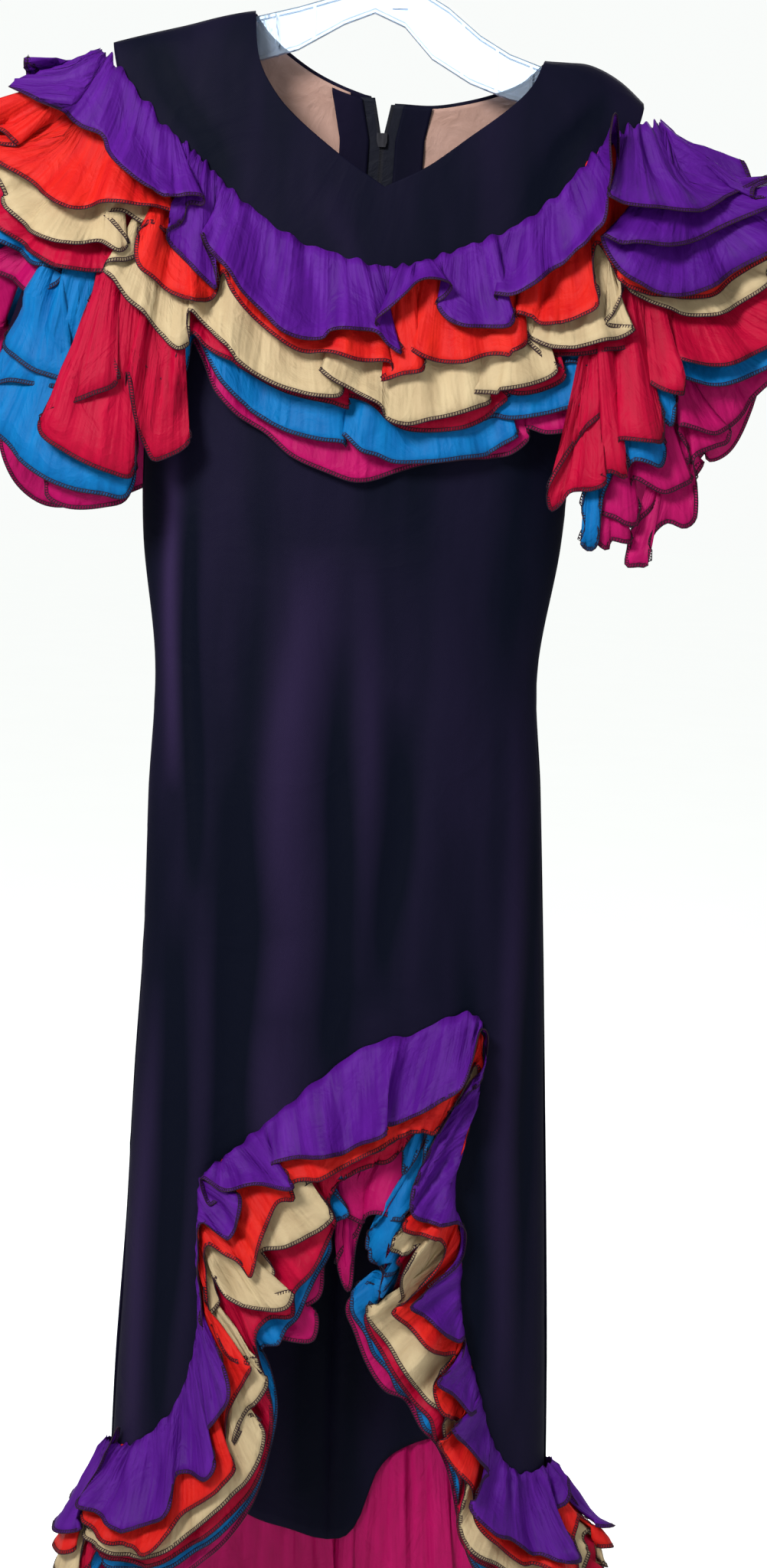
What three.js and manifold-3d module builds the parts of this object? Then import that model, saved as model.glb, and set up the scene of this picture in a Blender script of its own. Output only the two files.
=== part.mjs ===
// A rumba dress on a hanger: a long fitted sheath with a six-tier ruffled bertha round the
// shoulders and six matching ruffles round the arched skirt opening and the hem.
// Millimetres, +Z up, the front faces -Y, the origin is the point where the hook hangs.
import * as THREE from 'three';
import { mergeVertices } from 'three/addons/utils/BufferGeometryUtils.js';
import Module from 'manifold-3d';

// ---------------------------------------------------------------- driving dimensions
const CREPE = 1.5;                 // wall of the sheath's stretch crepe
const RUFFLE_CLOTH = 1.2;          // wall of the ruffles
const LINING_CLOTH = 1.0;          // wall of lining, facings and zip tapes
const SEAM_GAP = 0.4;              // free space between pieces that are sewn together
const BERTHA_SEAT = 0.85;          // the bertha's seams stand this far off the faceted sheath
const HEM_SEAT = 1.25;             // and those round the hem, where the sheath is rounder

const TIERS = ['purple', 'orange', 'cream', 'crimson', 'blue', 'magenta'];
const TIER_COLOURS = [0x5a1f9a, 0xe8401c, 0xe2cf90, 0xd81048, 0x1090cc, 0xc02080];

// The sheath: centre line, half width of the cut, half width at which front and back would
// meet (wider than the cut beside the open armholes) and half depth, at each height.
const SHEATH = [
  { z: -40, centre: -12, cut: 254, meet: 300, depth: 34 },
  { z: -100, centre: -12, cut: 252, meet: 300, depth: 38 },
  { z: -160, centre: -12, cut: 239, meet: 300, depth: 42 },
  { z: -220, centre: -14, cut: 222, meet: 290, depth: 45 },
  { z: -300, centre: -20, cut: 208, meet: 262, depth: 47 },
  { z: -360, centre: -23, cut: 204, meet: 226, depth: 48 },
  { z: -410, centre: -25, cut: 203, meet: 203, depth: 49 },
  { z: -555, centre: -29, cut: 198, meet: 198, depth: 50 },
  { z: -680, centre: -31, cut: 182, meet: 182, depth: 50 },
  { z: -810, centre: -29, cut: 188, meet: 188, depth: 52 },
  { z: -960, centre: -26, cut: 193, meet: 193, depth: 54 },
  { z: -1110, centre: -26, cut: 200, meet: 200, depth: 56 },
  { z: -1266, centre: -25, cut: 206, meet: 206, depth: 58 },
  { z: -1423, centre: -26, cut: 213, meet: 213, depth: 60 },
  { z: -1580, centre: -26, cut: 217, meet: 217, depth: 62 },
  { z: -1760, centre: -26, cut: 221, meet: 221, depth: 64 },
];
const SIDE_POWER = 2.6;            // how square the sheath's section is
const SHOULDER_ROUND = 45;         // how soon the cloth swells out below the shoulder seam
const ARMPIT_Z = -410;
const WAIST_Z = -680;

// The shoulder seam, carried straight across the open neck.
const SHOULDER = [
  { x: -290, z: -116 },
  { x: -264, z: -106 },
  { x: -197, z: -89 },
  { x: -134, z: -73 },
  { x: 136, z: -110 },
  { x: 176, z: -112 },
  { x: 206, z: -126 },
  { x: 240, z: -156 },
  { x: 270, z: -178 },
];

// Grain lines of the panels: where each one starts at the neck or shoulder, and ends at the hem.
const FRONT_GRAIN = [
  { topX: -264, topZ: -107, hemX: -256, hemZ: -1568 },
  { topX: -230, topZ: -98, hemX: -240, hemZ: -1567 },
  { topX: -197, topZ: -90, hemX: -205, hemZ: -1548 },
  { topX: -165, topZ: -82, hemX: -165, hemZ: -1518 },
  { topX: -132, topZ: -75, hemX: -130, hemZ: -1455 },
  { topX: -127, topZ: -118, hemX: -110, hemZ: -1366 },
  { topX: -114, topZ: -146, hemX: -94, hemZ: -1286 },
  { topX: -92, topZ: -172, hemX: -86, hemZ: -1226 },
  { topX: -50, topZ: -206, hemX: -60, hemZ: -1165 },
  { topX: -8, topZ: -234, hemX: -12, hemZ: -1117 },
  { topX: 30, topZ: -215, hemX: 24, hemZ: -1110 },
  { topX: 68, topZ: -187, hemX: 43, hemZ: -1130 },
  { topX: 103, topZ: -160, hemX: 48, hemZ: -1210 },
  { topX: 124, topZ: -138, hemX: 62, hemZ: -1310 },
  { topX: 136, topZ: -112, hemX: 92, hemZ: -1407 },
  { topX: 158, topZ: -113, hemX: 117, hemZ: -1495 },
  { topX: 180, topZ: -115, hemX: 154, hemZ: -1556 },
  { topX: 208, topZ: -129, hemX: 190, hemZ: -1566 },
  { topX: 240, topZ: -157, hemX: 205, hemZ: -1566 },
];
const BACK_LEFT_GRAIN = [
  { topX: 2, topZ: -148, hemX: -20, hemZ: -1665 },
  { topX: 34, topZ: -149, hemX: 22, hemZ: -1661 },
  { topX: 62, topZ: -145, hemX: 62, hemZ: -1650 },
  { topX: 90, topZ: -138, hemX: 100, hemZ: -1633 },
  { topX: 116, topZ: -128, hemX: 134, hemZ: -1614 },
  { topX: 136, topZ: -112, hemX: 160, hemZ: -1598 },
  { topX: 158, topZ: -113, hemX: 178, hemZ: -1586 },
  { topX: 180, topZ: -115, hemX: 190, hemZ: -1577 },
  { topX: 208, topZ: -129, hemX: 198, hemZ: -1571 },
  { topX: 240, topZ: -157, hemX: 205, hemZ: -1566 },
];
const BACK_RIGHT_GRAIN = [
  { topX: -26, topZ: -142, hemX: -32, hemZ: -1665 },
  { topX: -52, topZ: -133, hemX: -74, hemZ: -1661 },
  { topX: -76, topZ: -122, hemX: -114, hemZ: -1650 },
  { topX: -98, topZ: -108, hemX: -152, hemZ: -1633 },
  { topX: -118, topZ: -92, hemX: -186, hemZ: -1614 },
  { topX: -132, topZ: -75, hemX: -212, hemZ: -1598 },
  { topX: -165, topZ: -82, hemX: -230, hemZ: -1586 },
  { topX: -197, topZ: -90, hemX: -242, hemZ: -1577 },
  { topX: -230, topZ: -98, hemX: -250, hemZ: -1571 },
  { topX: -264, topZ: -107, hemX: -256, hemZ: -1568 },
];
const PANEL_ROWS = 16;
const ROW_CROWD = 1.6;             // above 1, rows are closer together towards the shoulders

// The bertha, once round: where its top seam runs, and where its lowest edge reaches.
// seamY and lowY are the least it stands before (minus) or behind the plane of the shoulders;
// sleeve is 1 where it hangs over an arm, and 0 where it lies on the sheath.
const BERTHA = [
  { seamX: -273, seamZ: -118, seamY: 0, lowX: -392, lowZ: -455, lowY: 0, sleeve: 1, fold: 1 },
  { seamX: -263, seamZ: -122, seamY: -14, lowX: -375, lowZ: -505, lowY: -44, sleeve: 1, fold: 1 },
  { seamX: -240, seamZ: -150, seamY: -28, lowX: -312, lowZ: -535, lowY: -64, sleeve: 1, fold: 1 },
  { seamX: -210, seamZ: -185, seamY: -30, lowX: -244, lowZ: -528, lowY: -66, sleeve: 0.8, fold: 0.8 },
  { seamX: -180, seamZ: -210, seamY: -30, lowX: -196, lowZ: -486, lowY: -57, sleeve: 0.3, fold: 0.7 },
  { seamX: -140, seamZ: -248, seamY: -30, lowX: -148, lowZ: -458, lowY: -51, sleeve: 0, fold: 0.7 },
  { seamX: -91, seamZ: -282, seamY: -30, lowX: -85, lowZ: -485, lowY: -40, sleeve: 0, fold: 1 },
  { seamX: -45, seamZ: -297, seamY: -30, lowX: -39, lowZ: -500, lowY: -30, sleeve: 0, fold: 1 },
  { seamX: -4, seamZ: -306, seamY: -30, lowX: -6, lowZ: -502, lowY: -30, sleeve: 0, fold: 1 },
  { seamX: 32, seamZ: -299, seamY: -30, lowX: 42, lowZ: -492, lowY: -30, sleeve: 0, fold: 1 },
  { seamX: 71, seamZ: -284, seamY: -30, lowX: 88, lowZ: -476, lowY: -40, sleeve: 0, fold: 0.6 },
  { seamX: 112, seamZ: -266, seamY: -30, lowX: 128, lowZ: -466, lowY: -52, sleeve: 0, fold: 0.6 },
  { seamX: 150, seamZ: -236, seamY: -30, lowX: 166, lowZ: -480, lowY: -57, sleeve: 0.3, fold: 0.6 },
  { seamX: 184, seamZ: -196, seamY: -30, lowX: 208, lowZ: -524, lowY: -66, sleeve: 0.8, fold: 0.8 },
  { seamX: 214, seamZ: -172, seamY: -26, lowX: 262, lowZ: -556, lowY: -64, sleeve: 1, fold: 1 },
  { seamX: 238, seamZ: -166, seamY: -12, lowX: 330, lowZ: -525, lowY: -44, sleeve: 1, fold: 1 },
  { seamX: 247, seamZ: -164, seamY: 0, lowX: 368, lowZ: -460, lowY: 0, sleeve: 1, fold: 1 },
  { seamX: 238, seamZ: -170, seamY: 12, lowX: 332, lowZ: -520, lowY: 44, sleeve: 1, fold: 1 },
  { seamX: 212, seamZ: -186, seamY: 26, lowX: 262, lowZ: -545, lowY: 64, sleeve: 1, fold: 1 },
  { seamX: 170, seamZ: -224, seamY: 30, lowX: 198, lowZ: -505, lowY: 62, sleeve: 0.6, fold: 0.8 },
  { seamX: 112, seamZ: -264, seamY: 30, lowX: 126, lowZ: -474, lowY: 53, sleeve: 0, fold: 1 },
  { seamX: 48, seamZ: -286, seamY: 30, lowX: 54, lowZ: -484, lowY: 30, sleeve: 0, fold: 1 },
  { seamX: -16, seamZ: -292, seamY: 30, lowX: -18, lowZ: -490, lowY: 30, sleeve: 0, fold: 1 },
  { seamX: -80, seamZ: -284, seamY: 30, lowX: -88, lowZ: -484, lowY: 30, sleeve: 0, fold: 1 },
  { seamX: -142, seamZ: -258, seamY: 30, lowX: -160, lowZ: -478, lowY: 53, sleeve: 0, fold: 1 },
  { seamX: -198, seamZ: -212, seamY: 30, lowX: -228, lowZ: -508, lowY: 62, sleeve: 0.6, fold: 0.8 },
  { seamX: -238, seamZ: -160, seamY: 28, lowX: -300, lowZ: -535, lowY: 64, sleeve: 1, fold: 1 },
  { seamX: -263, seamZ: -126, seamY: 14, lowX: -376, lowZ: -500, lowY: 44, sleeve: 1, fold: 1 },
];

// The hem ruffles, once round: along the hem, up the arched opening and down again. fold is
// how full the folds are, less where the tiers crowd together inside the arch.
const HEM = [
  { seamX: -246, seamZ: -1452, seamY: 0, lowX: -276, lowZ: -1640, lowY: 0, fold: 1 },
  { seamX: -239, seamZ: -1450, seamY: -14, lowX: -266, lowZ: -1644, lowY: -34, fold: 1 },
  { seamX: -212, seamZ: -1440, seamY: -30, lowX: -226, lowZ: -1640, lowY: -44, fold: 1 },
  { seamX: -176, seamZ: -1398, seamY: -30, lowX: -160, lowZ: -1598, lowY: -44, fold: 0.8 },
  { seamX: -158, seamZ: -1338, seamY: -30, lowX: -112, lowZ: -1516, lowY: -44, fold: 0.5 },
  { seamX: -155, seamZ: -1272, seamY: -30, lowX: -80, lowZ: -1420, lowY: -44, fold: 0.4 },
  { seamX: -158, seamZ: -1206, seamY: -30, lowX: -54, lowZ: -1330, lowY: -44, fold: 0.35 },
  { seamX: -150, seamZ: -1146, seamY: -30, lowX: -42, lowZ: -1258, lowY: -44, fold: 0.35 },
  { seamX: -107, seamZ: -1090, seamY: -30, lowX: -28, lowZ: -1204, lowY: -44, fold: 0.4 },
  { seamX: -31, seamZ: -1037, seamY: -30, lowX: -4, lowZ: -1172, lowY: -44, fold: 0.4 },
  { seamX: 44, seamZ: -1014, seamY: -30, lowX: 14, lowZ: -1168, lowY: -44, fold: 0.35 },
  { seamX: 104, seamZ: -1004, seamY: -30, lowX: 28, lowZ: -1176, lowY: -44, fold: 0.25 },
  { seamX: 112, seamZ: -1064, seamY: -30, lowX: 30, lowZ: -1196, lowY: -44, fold: 0.25 },
  { seamX: 104, seamZ: -1134, seamY: -30, lowX: 20, lowZ: -1236, lowY: -44, fold: 0.25 },
  { seamX: 98, seamZ: -1204, seamY: -30, lowX: 12, lowZ: -1282, lowY: -44, fold: 0.3 },
  { seamX: 100, seamZ: -1272, seamY: -30, lowX: 30, lowZ: -1330, lowY: -44, fold: 0.35 },
  { seamX: 114, seamZ: -1346, seamY: -30, lowX: 58, lowZ: -1404, lowY: -44, fold: 0.45 },
  { seamX: 132, seamZ: -1420, seamY: -30, lowX: 92, lowZ: -1500, lowY: -44, fold: 0.6 },
  { seamX: 158, seamZ: -1458, seamY: -30, lowX: 146, lowZ: -1612, lowY: -44, fold: 0.9 },
  { seamX: 186, seamZ: -1462, seamY: -14, lowX: 208, lowZ: -1636, lowY: -36, fold: 1 },
  { seamX: 195, seamZ: -1460, seamY: 0, lowX: 226, lowZ: -1636, lowY: 0, fold: 1 },
  { seamX: 186, seamZ: -1464, seamY: 14, lowX: 212, lowZ: -1650, lowY: 36, fold: 1 },
  { seamX: 136, seamZ: -1492, seamY: 30, lowX: 150, lowZ: -1690, lowY: 44, fold: 1 },
  { seamX: 62, seamZ: -1526, seamY: 30, lowX: 68, lowZ: -1722, lowY: 44, fold: 1 },
  { seamX: -25, seamZ: -1542, seamY: 30, lowX: -26, lowZ: -1738, lowY: 44, fold: 1 },
  { seamX: -112, seamZ: -1524, seamY: 30, lowX: -118, lowZ: -1720, lowY: 44, fold: 1 },
  { seamX: -186, seamZ: -1490, seamY: 30, lowX: -200, lowZ: -1688, lowY: 44, fold: 1 },
  { seamX: -237, seamZ: -1458, seamY: 14, lowX: -262, lowZ: -1652, lowY: 36, fold: 1 },
];
const TIER_COLUMNS = 60;
const BERTHA_FOLDS = 16;
const HEM_FOLDS = 18;
const FLARE_FULL = 0.22;           // how far a fully folded ruffle stands out per millimetre of depth
const FLARE_FLAT = 0.42;           // and one whose folds are pressed flat
const FLARE_FOLD = 0.24;           // what the crest of a fold adds to that
const WANDER = 0.7;                // how far the crests stray from an even spacing, in radians
const WANDER_WAVES = 3;            // and how many times they do so once round
const BODY_SHARE = 0.42;           // share of the stack that one tier covers on the sheath
const SLEEVE_SHARE = 0.28;         // and over the arms
const ARMHOLE_GAP = 0.9;           // between a flutter sleeve and the armhole's curved edge
const SLEEVE_INSET = 3.5;          // how far a flutter sleeve lies inside the ruffles it carries
const SLEEVE_BASE_START = 0.03;    // where down the stack the flutter sleeves begin
const SLEEVE_BASE_END = 0.79;      // and how far down it they reach
const SLEEVE_SEAT = 3;             // columns over which a sleeve rises off the armhole's edge

// Zip down the centre back, open at the top down to the slider.
const ZIP = {
  top: -146, slider: -182, bottom: -600, slotEnd: -680, mouth: 11, slot: 3.6,
  chainWidth: 4.6, chainThick: 2.0, chainEnd: -596, chainProud: 0.3,
  tapeInner: 2.7, tapeOuter: 14, facingInner: 12.5, facingOuter: 40,
};
const MOUTH_GROWTH = 1.2;          // the open zip goes on widening up to this share of its length
const SLIDER = {
  height: 13, innerHalf: 5, outerWidth: 8, plate: 1.4, innerAt: -5, outerAt: 1.1,
  web: 2.0, webHeight: 6, webRise: 3,
};
const PULL = { thick: 1.2, windowWidth: 3.4, windowHeight: 5.2, bar: 1.3 };
const PULL_OUTLINE = [             // down one side of the tab: half width and drop from its top
  { half: 2.4, drop: 0 },
  { half: 3.2, drop: 0.8 },
  { half: 3.2, drop: 8 },
  { half: 2.2, drop: 12 },
  { half: 2.8, drop: 25 },
  { half: 1.4, drop: 27 },
];
const BAIL = { width: 1.6, wall: 0.9, clear: 1.35, sunk: 0.5, eyeExtra: 2 };
const LINING_GRAIN = [1, 8];       // first and last grain line that the back lining reaches
const NECK_GRAIN = 5;              // grain lines before this one end at the neck, not the shoulder
const LINING_TURN = 0.12;          // share of a row that is turned in at the neck
const LINING_ROWS = 5;
const FACING_END_Z = -330;
const NECK_PLACE_Z = -150;         // height at which the back neckline is set out from the centre line

// Clear hanger: upper and lower rail of each arm, out from the hub.
const HANGER_TOP = [
  { x: -236, z: -104.5 },
  { x: -197, z: -95.4 },
  { x: -134, z: -79.7 },
  { x: -92, z: -69 },
  { x: -50, z: -56 },
  { x: -16, z: -47 },
  { x: 18, z: -50 },
  { x: 46, z: -66 },
  { x: 76, z: -90 },
  { x: 104, z: -106 },
  { x: 136, z: -117.2 },
  { x: 176, z: -119.4 },
  { x: 208, z: -134.9 },
];
const HANGER_LOW = [
  { x: -236, z: -124 },
  { x: -197, z: -124 },
  { x: -134, z: -120 },
  { x: -92, z: -107 },
  { x: -50, z: -83 },
  { x: -22, z: -72 },
  { x: 6, z: -84 },
  { x: 32, z: -112 },
  { x: 68, z: -133 },
  { x: 104, z: -146 },
  { x: 136, z: -152 },
  { x: 176, z: -156 },
  { x: 208, z: -160 },
];
const RAIL = { depth: 9, height: 3.6 };
const WEB_THICK = 2.4;
const RIBS = [-150, -112, -78, 60, 92, 124, 152];
const RIB = { width: 3, depth: 8, bury: 1 };
const TIP_WALL = 3;
const BOSS = { x: 1, z: -58, width: 14, height: 20 };
const HOOK = {
  radius: 20, wire: 1.9, neckX: 1, neckZ: -47.4, tipDrop: 8, turnEnd: -45, straight: [12, 5, 0],
};

// ---------------------------------------------------------------- tables and curves

/** Value of one column of a table at a place along it, on a smooth curve through its rows. */
function smoothAt(rows, along, column, at) {
  const rising = rows[1][along] > rows[0][along];
  const key = (row) => (rising ? row[along] : -row[along]);
  const place = rising ? at : -at;
  const last = rows.length - 1;
  if (place <= key(rows[0])) return rows[0][column];
  if (place >= key(rows[last])) return rows[last][column];
  let i = 0;
  while (key(rows[i + 1]) < place) i += 1;
  const slope = (j) => {
    const a = Math.max(j - 1, 0);
    const b = Math.min(j + 1, last);
    return (rows[b][column] - rows[a][column]) / (key(rows[b]) - key(rows[a]));
  };
  const span = key(rows[i + 1]) - key(rows[i]);
  const t = (place - key(rows[i])) / span;
  const low = (1 + 2 * t) * (1 - t) ** 2 * rows[i][column] + t * (1 - t) ** 2 * span * slope(i);
  const high = t ** 2 * (3 - 2 * t) * rows[i + 1][column] + t ** 2 * (t - 1) * span * slope(i + 1);
  return low + high;
}

/** Value of one column of a closed table at a share of the way round it. */
function roundAt(rows, column, share) {
  const n = rows.length;
  const place = (((share % 1) + 1) % 1) * n;
  const i = Math.floor(place);
  const t = place - i;
  const p = [-1, 0, 1, 2].map((step) => rows[(i + step + n) % n][column]);
  return 0.5 * (2 * p[1] + (p[2] - p[0]) * t + (2 * p[0] - 5 * p[1] + 4 * p[2] - p[3]) * t * t
    + (3 * p[1] - p[0] - 3 * p[2] + p[3]) * t ** 3);
}

const mix = (a, b, t) => a + (b - a) * t;
const centreAt = (z) => smoothAt(SHEATH, 'z', 'centre', z);
const cutAt = (z) => smoothAt(SHEATH, 'z', 'cut', z);

/** Half depth of the sheath at a point of its front or back, 0 along its side seams. */
function sheathDepth(x, z) {
  const across = Math.min(Math.abs(x - centreAt(z)) / smoothAt(SHEATH, 'z', 'meet', z), 1);
  const below = Math.max(smoothAt(SHOULDER, 'x', 'z', x) - z, 0);
  const side = Math.sqrt(1 - across ** SIDE_POWER);
  const shoulder = Math.sqrt(1 - Math.exp(-below / SHOULDER_ROUND));
  return smoothAt(SHEATH, 'z', 'depth', z) * side * shoulder;
}

/** A point on the sheath's outer face moved inwards; side is -1 on the front, 1 on the back. */
function sheathPoint(x, z, side, inward) {
  const step = 0.4;
  const slopeX = (sheathDepth(x + step, z) - sheathDepth(x - step, z)) / (2 * step);
  const slopeZ = (sheathDepth(x, z + step) - sheathDepth(x, z - step)) / (2 * step);
  const out = new THREE.Vector3(-slopeX, side, -slopeZ).normalize();
  const point = new THREE.Vector3(x, side * (sheathDepth(x, z) + SEAM_GAP / 2), z);
  point.addScaledVector(out, -inward);
  point.y = side * Math.max(side * point.y, SEAM_GAP / 2);
  return point;
}

// ---------------------------------------------------------------- solids

/** A closed mesh, facing out, from a list of vertices and a list of triangles. */
function closedGeometry(points, triangles) {
  let volume = 0;
  for (const [a, b, c] of triangles) {
    volume += points[a].dot(new THREE.Vector3().crossVectors(points[b], points[c]));
  }
  const facing = volume < 0 ? triangles.map(([a, b, c]) => [a, c, b]) : triangles;
  const geometry = new THREE.BufferGeometry();
  const places = points.flatMap((p) => p.toArray());
  geometry.setAttribute('position', new THREE.Float32BufferAttribute(places, 3));
  geometry.setIndex(facing.flat());
  geometry.computeVertexNormals();
  return geometry;
}

/** A cloth wall between two grids of points, [row][column]; a ring joins its first and last column. */
function clothWall(outer, inner, ring = false) {
  const rows = outer.length;
  const columns = outer[0].length;
  const points = [...outer.flat(), ...inner.flat()];
  const at = (layer, r, c) => layer * rows * columns + r * columns + (c % columns);
  const triangles = [];
  const quad = (a, b, c, d) => triangles.push([a, b, c], [a, c, d]);
  const spans = ring ? columns : columns - 1;
  for (let c = 0; c < spans; c += 1) {
    for (let r = 0; r < rows - 1; r += 1) {
      quad(at(0, r, c), at(0, r, c + 1), at(0, r + 1, c + 1), at(0, r + 1, c));
      quad(at(1, r, c), at(1, r + 1, c), at(1, r + 1, c + 1), at(1, r, c + 1));
    }
    quad(at(0, 0, c), at(1, 0, c), at(1, 0, c + 1), at(0, 0, c + 1));
    quad(at(0, rows - 1, c), at(0, rows - 1, c + 1), at(1, rows - 1, c + 1), at(1, rows - 1, c));
  }
  if (!ring) {
    const end = columns - 1;
    for (let r = 0; r < rows - 1; r += 1) {
      quad(at(0, r, 0), at(0, r + 1, 0), at(1, r + 1, 0), at(1, r, 0));
      quad(at(0, r, end), at(1, r, end), at(1, r + 1, end), at(0, r + 1, end));
    }
  }
  return closedGeometry(points, triangles);
}

/** Half of the slot between the back panels at a height: open above the slider, shut below the zip. */
function slotAt(z) {
  const open = (z - ZIP.slider) / (ZIP.top - ZIP.slider);
  if (open > 0) return mix(ZIP.slot, ZIP.mouth, Math.min(open, MOUTH_GROWTH));
  if (z > ZIP.slotEnd) return ZIP.slot;
  return SEAM_GAP / 2;
}

/**
 * A panel of the sheath: each grain line runs from its top to its hem point, evenly spaced at
 * the waist, and every point lies on the sheath's face. centre is 1 or -1 where the first grain
 * line follows the zip and the centre-back seam.
 */
function panelGrid(grain, side, from, to, centre, inward) {
  const shareAt = (x, z) => (x - centreAt(z)) / cutAt(z);
  return Array.from({ length: PANEL_ROWS + 1 }, (_, r) => grain.map((line, i) => {
    const spread = mix(from, to, i / (grain.length - 1));
    const even = Math.sin((spread * Math.PI) / 2);
    const z = mix(line.topZ, line.hemZ, (r / PANEL_ROWS) ** ROW_CROWD);
    const top = shareAt(line.topX, line.topZ);
    const hem = shareAt(line.hemX, line.hemZ);
    const down = z > WAIST_Z
      ? mix(top, even, (line.topZ - z) / (line.topZ - WAIST_Z))
      : mix(even, hem, (WAIST_Z - z) / (WAIST_Z - line.hemZ));
    const edge = Math.abs(spread) === 1 ? Math.sign(spread) : down;
    const x = centre && i === 0
      ? centreAt(z) + centre * slotAt(z)
      : centreAt(z) + cutAt(z) * Math.max(-1, Math.min(1, edge));
    return sheathPoint(x, z, side, inward);
  }));
}

/** A panel as a wall of crepe. */
function sheathPanel(grain, side, from, to, centre = 0) {
  const face = panelGrid(grain, side, from, to, centre, 0);
  const inside = panelGrid(grain, side, from, to, centre, CREPE);
  return clothWall(face, inside);
}

/** The lining of half the upper back: the panel's own points between two grain lines, moved in. */
function backLining(grain, sign) {
  const [first, last] = LINING_GRAIN;
  const layer = (inward) => {
    const grid = panelGrid(grain, 1, 0, sign, sign, inward);
    const pointAt = (r, column) => {
      const start = column < NECK_GRAIN ? LINING_TURN : 1;
      const place = mix(start, LINING_ROWS, r / LINING_ROWS);
      const row = Math.min(Math.floor(place), LINING_ROWS - 1);
      return grid[row][column].clone().lerp(grid[row + 1][column], place - row);
    };
    const columns = Array.from({ length: last - first + 1 }, (_, c) => first + c);
    return Array.from({ length: LINING_ROWS + 1 }, (_, r) => columns.map((column) => pointAt(r, column)));
  };
  const out = CREPE + 2 * SEAM_GAP;
  return clothWall(layer(out), layer(out + LINING_CLOTH));
}

/** The surface that a set of ruffles is sewn on, once round (share) and down the stack (down). */
function stackPoint(rows, share, down) {
  const at = (column) => roundAt(rows, column, share);
  const x = mix(at('seamX'), at('lowX'), down);
  const z = mix(at('seamZ'), at('lowZ'), down);
  const y = mix(at('seamY'), at('lowY'), down);
  const least = sheathDepth(x, z) + SEAM_GAP / 2 + (rows === BERTHA ? BERTHA_SEAT : HEM_SEAT);
  const side = Math.sign(y);
  const onSheath = Math.abs(y) > 1 ? Math.max(Math.abs(y), least) : Math.abs(y);
  return new THREE.Vector3(x, side * onSheath, z);
}

/** Which way is out of the stack's surface at a place. */
function stackOut(rows, share, down) {
  const step = 0.004;
  const along = stackPoint(rows, share + step, down).sub(stackPoint(rows, share - step, down));
  const fall = stackPoint(rows, share, down + 0.05).sub(stackPoint(rows, share, down - 0.05));
  return new THREE.Vector3().crossVectors(fall, along).normalize();
}

/** One tier of a ruffle stack: a ring from its own seam down, standing out more on its folds. */
function ruffleTier(rows, tier, folds, turn) {
  const shareOfStack = (share) => (rows === BERTHA
    ? mix(BODY_SHARE, SLEEVE_SHARE, Math.min(Math.max(roundAt(rows, 'sleeve', share), 0), 1))
    : BODY_SHARE);
  const outer = [];
  const inner = [];
  for (const end of [0, 1]) {
    const outerRow = [];
    const innerRow = [];
    for (let c = 0; c < TIER_COLUMNS; c += 1) {
      const share = c / TIER_COLUMNS;
      const covered = shareOfStack(share);
      const top = (tier * (1 - covered)) / (TIERS.length - 1);
      const down = top + covered * end;
      const seam = stackPoint(rows, share, top);
      const edge = stackPoint(rows, share, top + covered);
      const wander = WANDER * Math.sin(2 * Math.PI * WANDER_WAVES * share + turn);
      const crest = 0.5 + 0.5 * Math.cos(2 * Math.PI * folds * share + wander);
      const fold = roundAt(rows, 'fold', share);
      const flare = mix(FLARE_FLAT, FLARE_FULL, fold) + FLARE_FOLD * fold * crest;
      const stand = end * seam.distanceTo(edge) * flare;
      const out = stackOut(rows, share, down);
      const base = stackPoint(rows, share, down);
      innerRow.push(base.clone().addScaledVector(out, stand));
      outerRow.push(base.clone().addScaledVector(out, stand + RUFFLE_CLOTH));
    }
    outer.push(outerRow);
    inner.push(innerRow);
  }
  return clothWall(outer, inner, true);
}

/** The share of the way round the bertha, between two rows, where it crosses the armhole's edge. */
function armholeShare(fromRow, toRow, down) {
  let a = fromRow / BERTHA.length;
  let b = toRow / BERTHA.length;
  for (let i = 0; i < 30; i += 1) {
    const middle = (a + b) / 2;
    const p = stackPoint(BERTHA, middle, down);
    const beyond = Math.abs(p.x - centreAt(p.z)) > cutAt(p.z) + ARMHOLE_GAP;
    if (beyond) a = middle;
    else b = middle;
  }
  return a;
}

/**
 * A flutter sleeve: the plain crepe base that carries the ruffles over an arm, sewn to the
 * upper armhole and open under the arm. tip is the row of the bertha over the shoulder.
 */
function flutterSleeve(tip, reach) {
  const outer = [];
  const inner = [];
  const rows = 5;
  const columns = 10;
  for (let r = 0; r <= rows; r += 1) {
    const down = mix(SLEEVE_BASE_START, SLEEVE_BASE_END, r / rows);
    const front = armholeShare(tip, tip + reach, down);
    const back = armholeShare(tip, tip - reach, down);
    const outerRow = [];
    const innerRow = [];
    for (let c = 0; c <= columns; c += 1) {
      const share = mix(front, back, c / columns);
      const p = stackPoint(BERTHA, share, down);
      const out = stackOut(BERTHA, share, down);
      const seat = Math.min(Math.min(c, columns - c) / SLEEVE_SEAT, 1);
      const onArmhole = (sheathDepth(p.x, p.z) + SEAM_GAP / 2) * Math.sign(p.y);
      if (p.z > ARMPIT_Z) p.y = mix(onArmhole, p.y, seat);
      const inset = mix(BERTHA_SEAT, SLEEVE_INSET, seat);
      outerRow.push(p.clone().addScaledVector(out, -inset));
      innerRow.push(p.clone().addScaledVector(out, -inset - CREPE));
    }
    outer.push(outerRow);
    inner.push(innerRow);
  }
  return clothWall(outer, inner);
}

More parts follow.
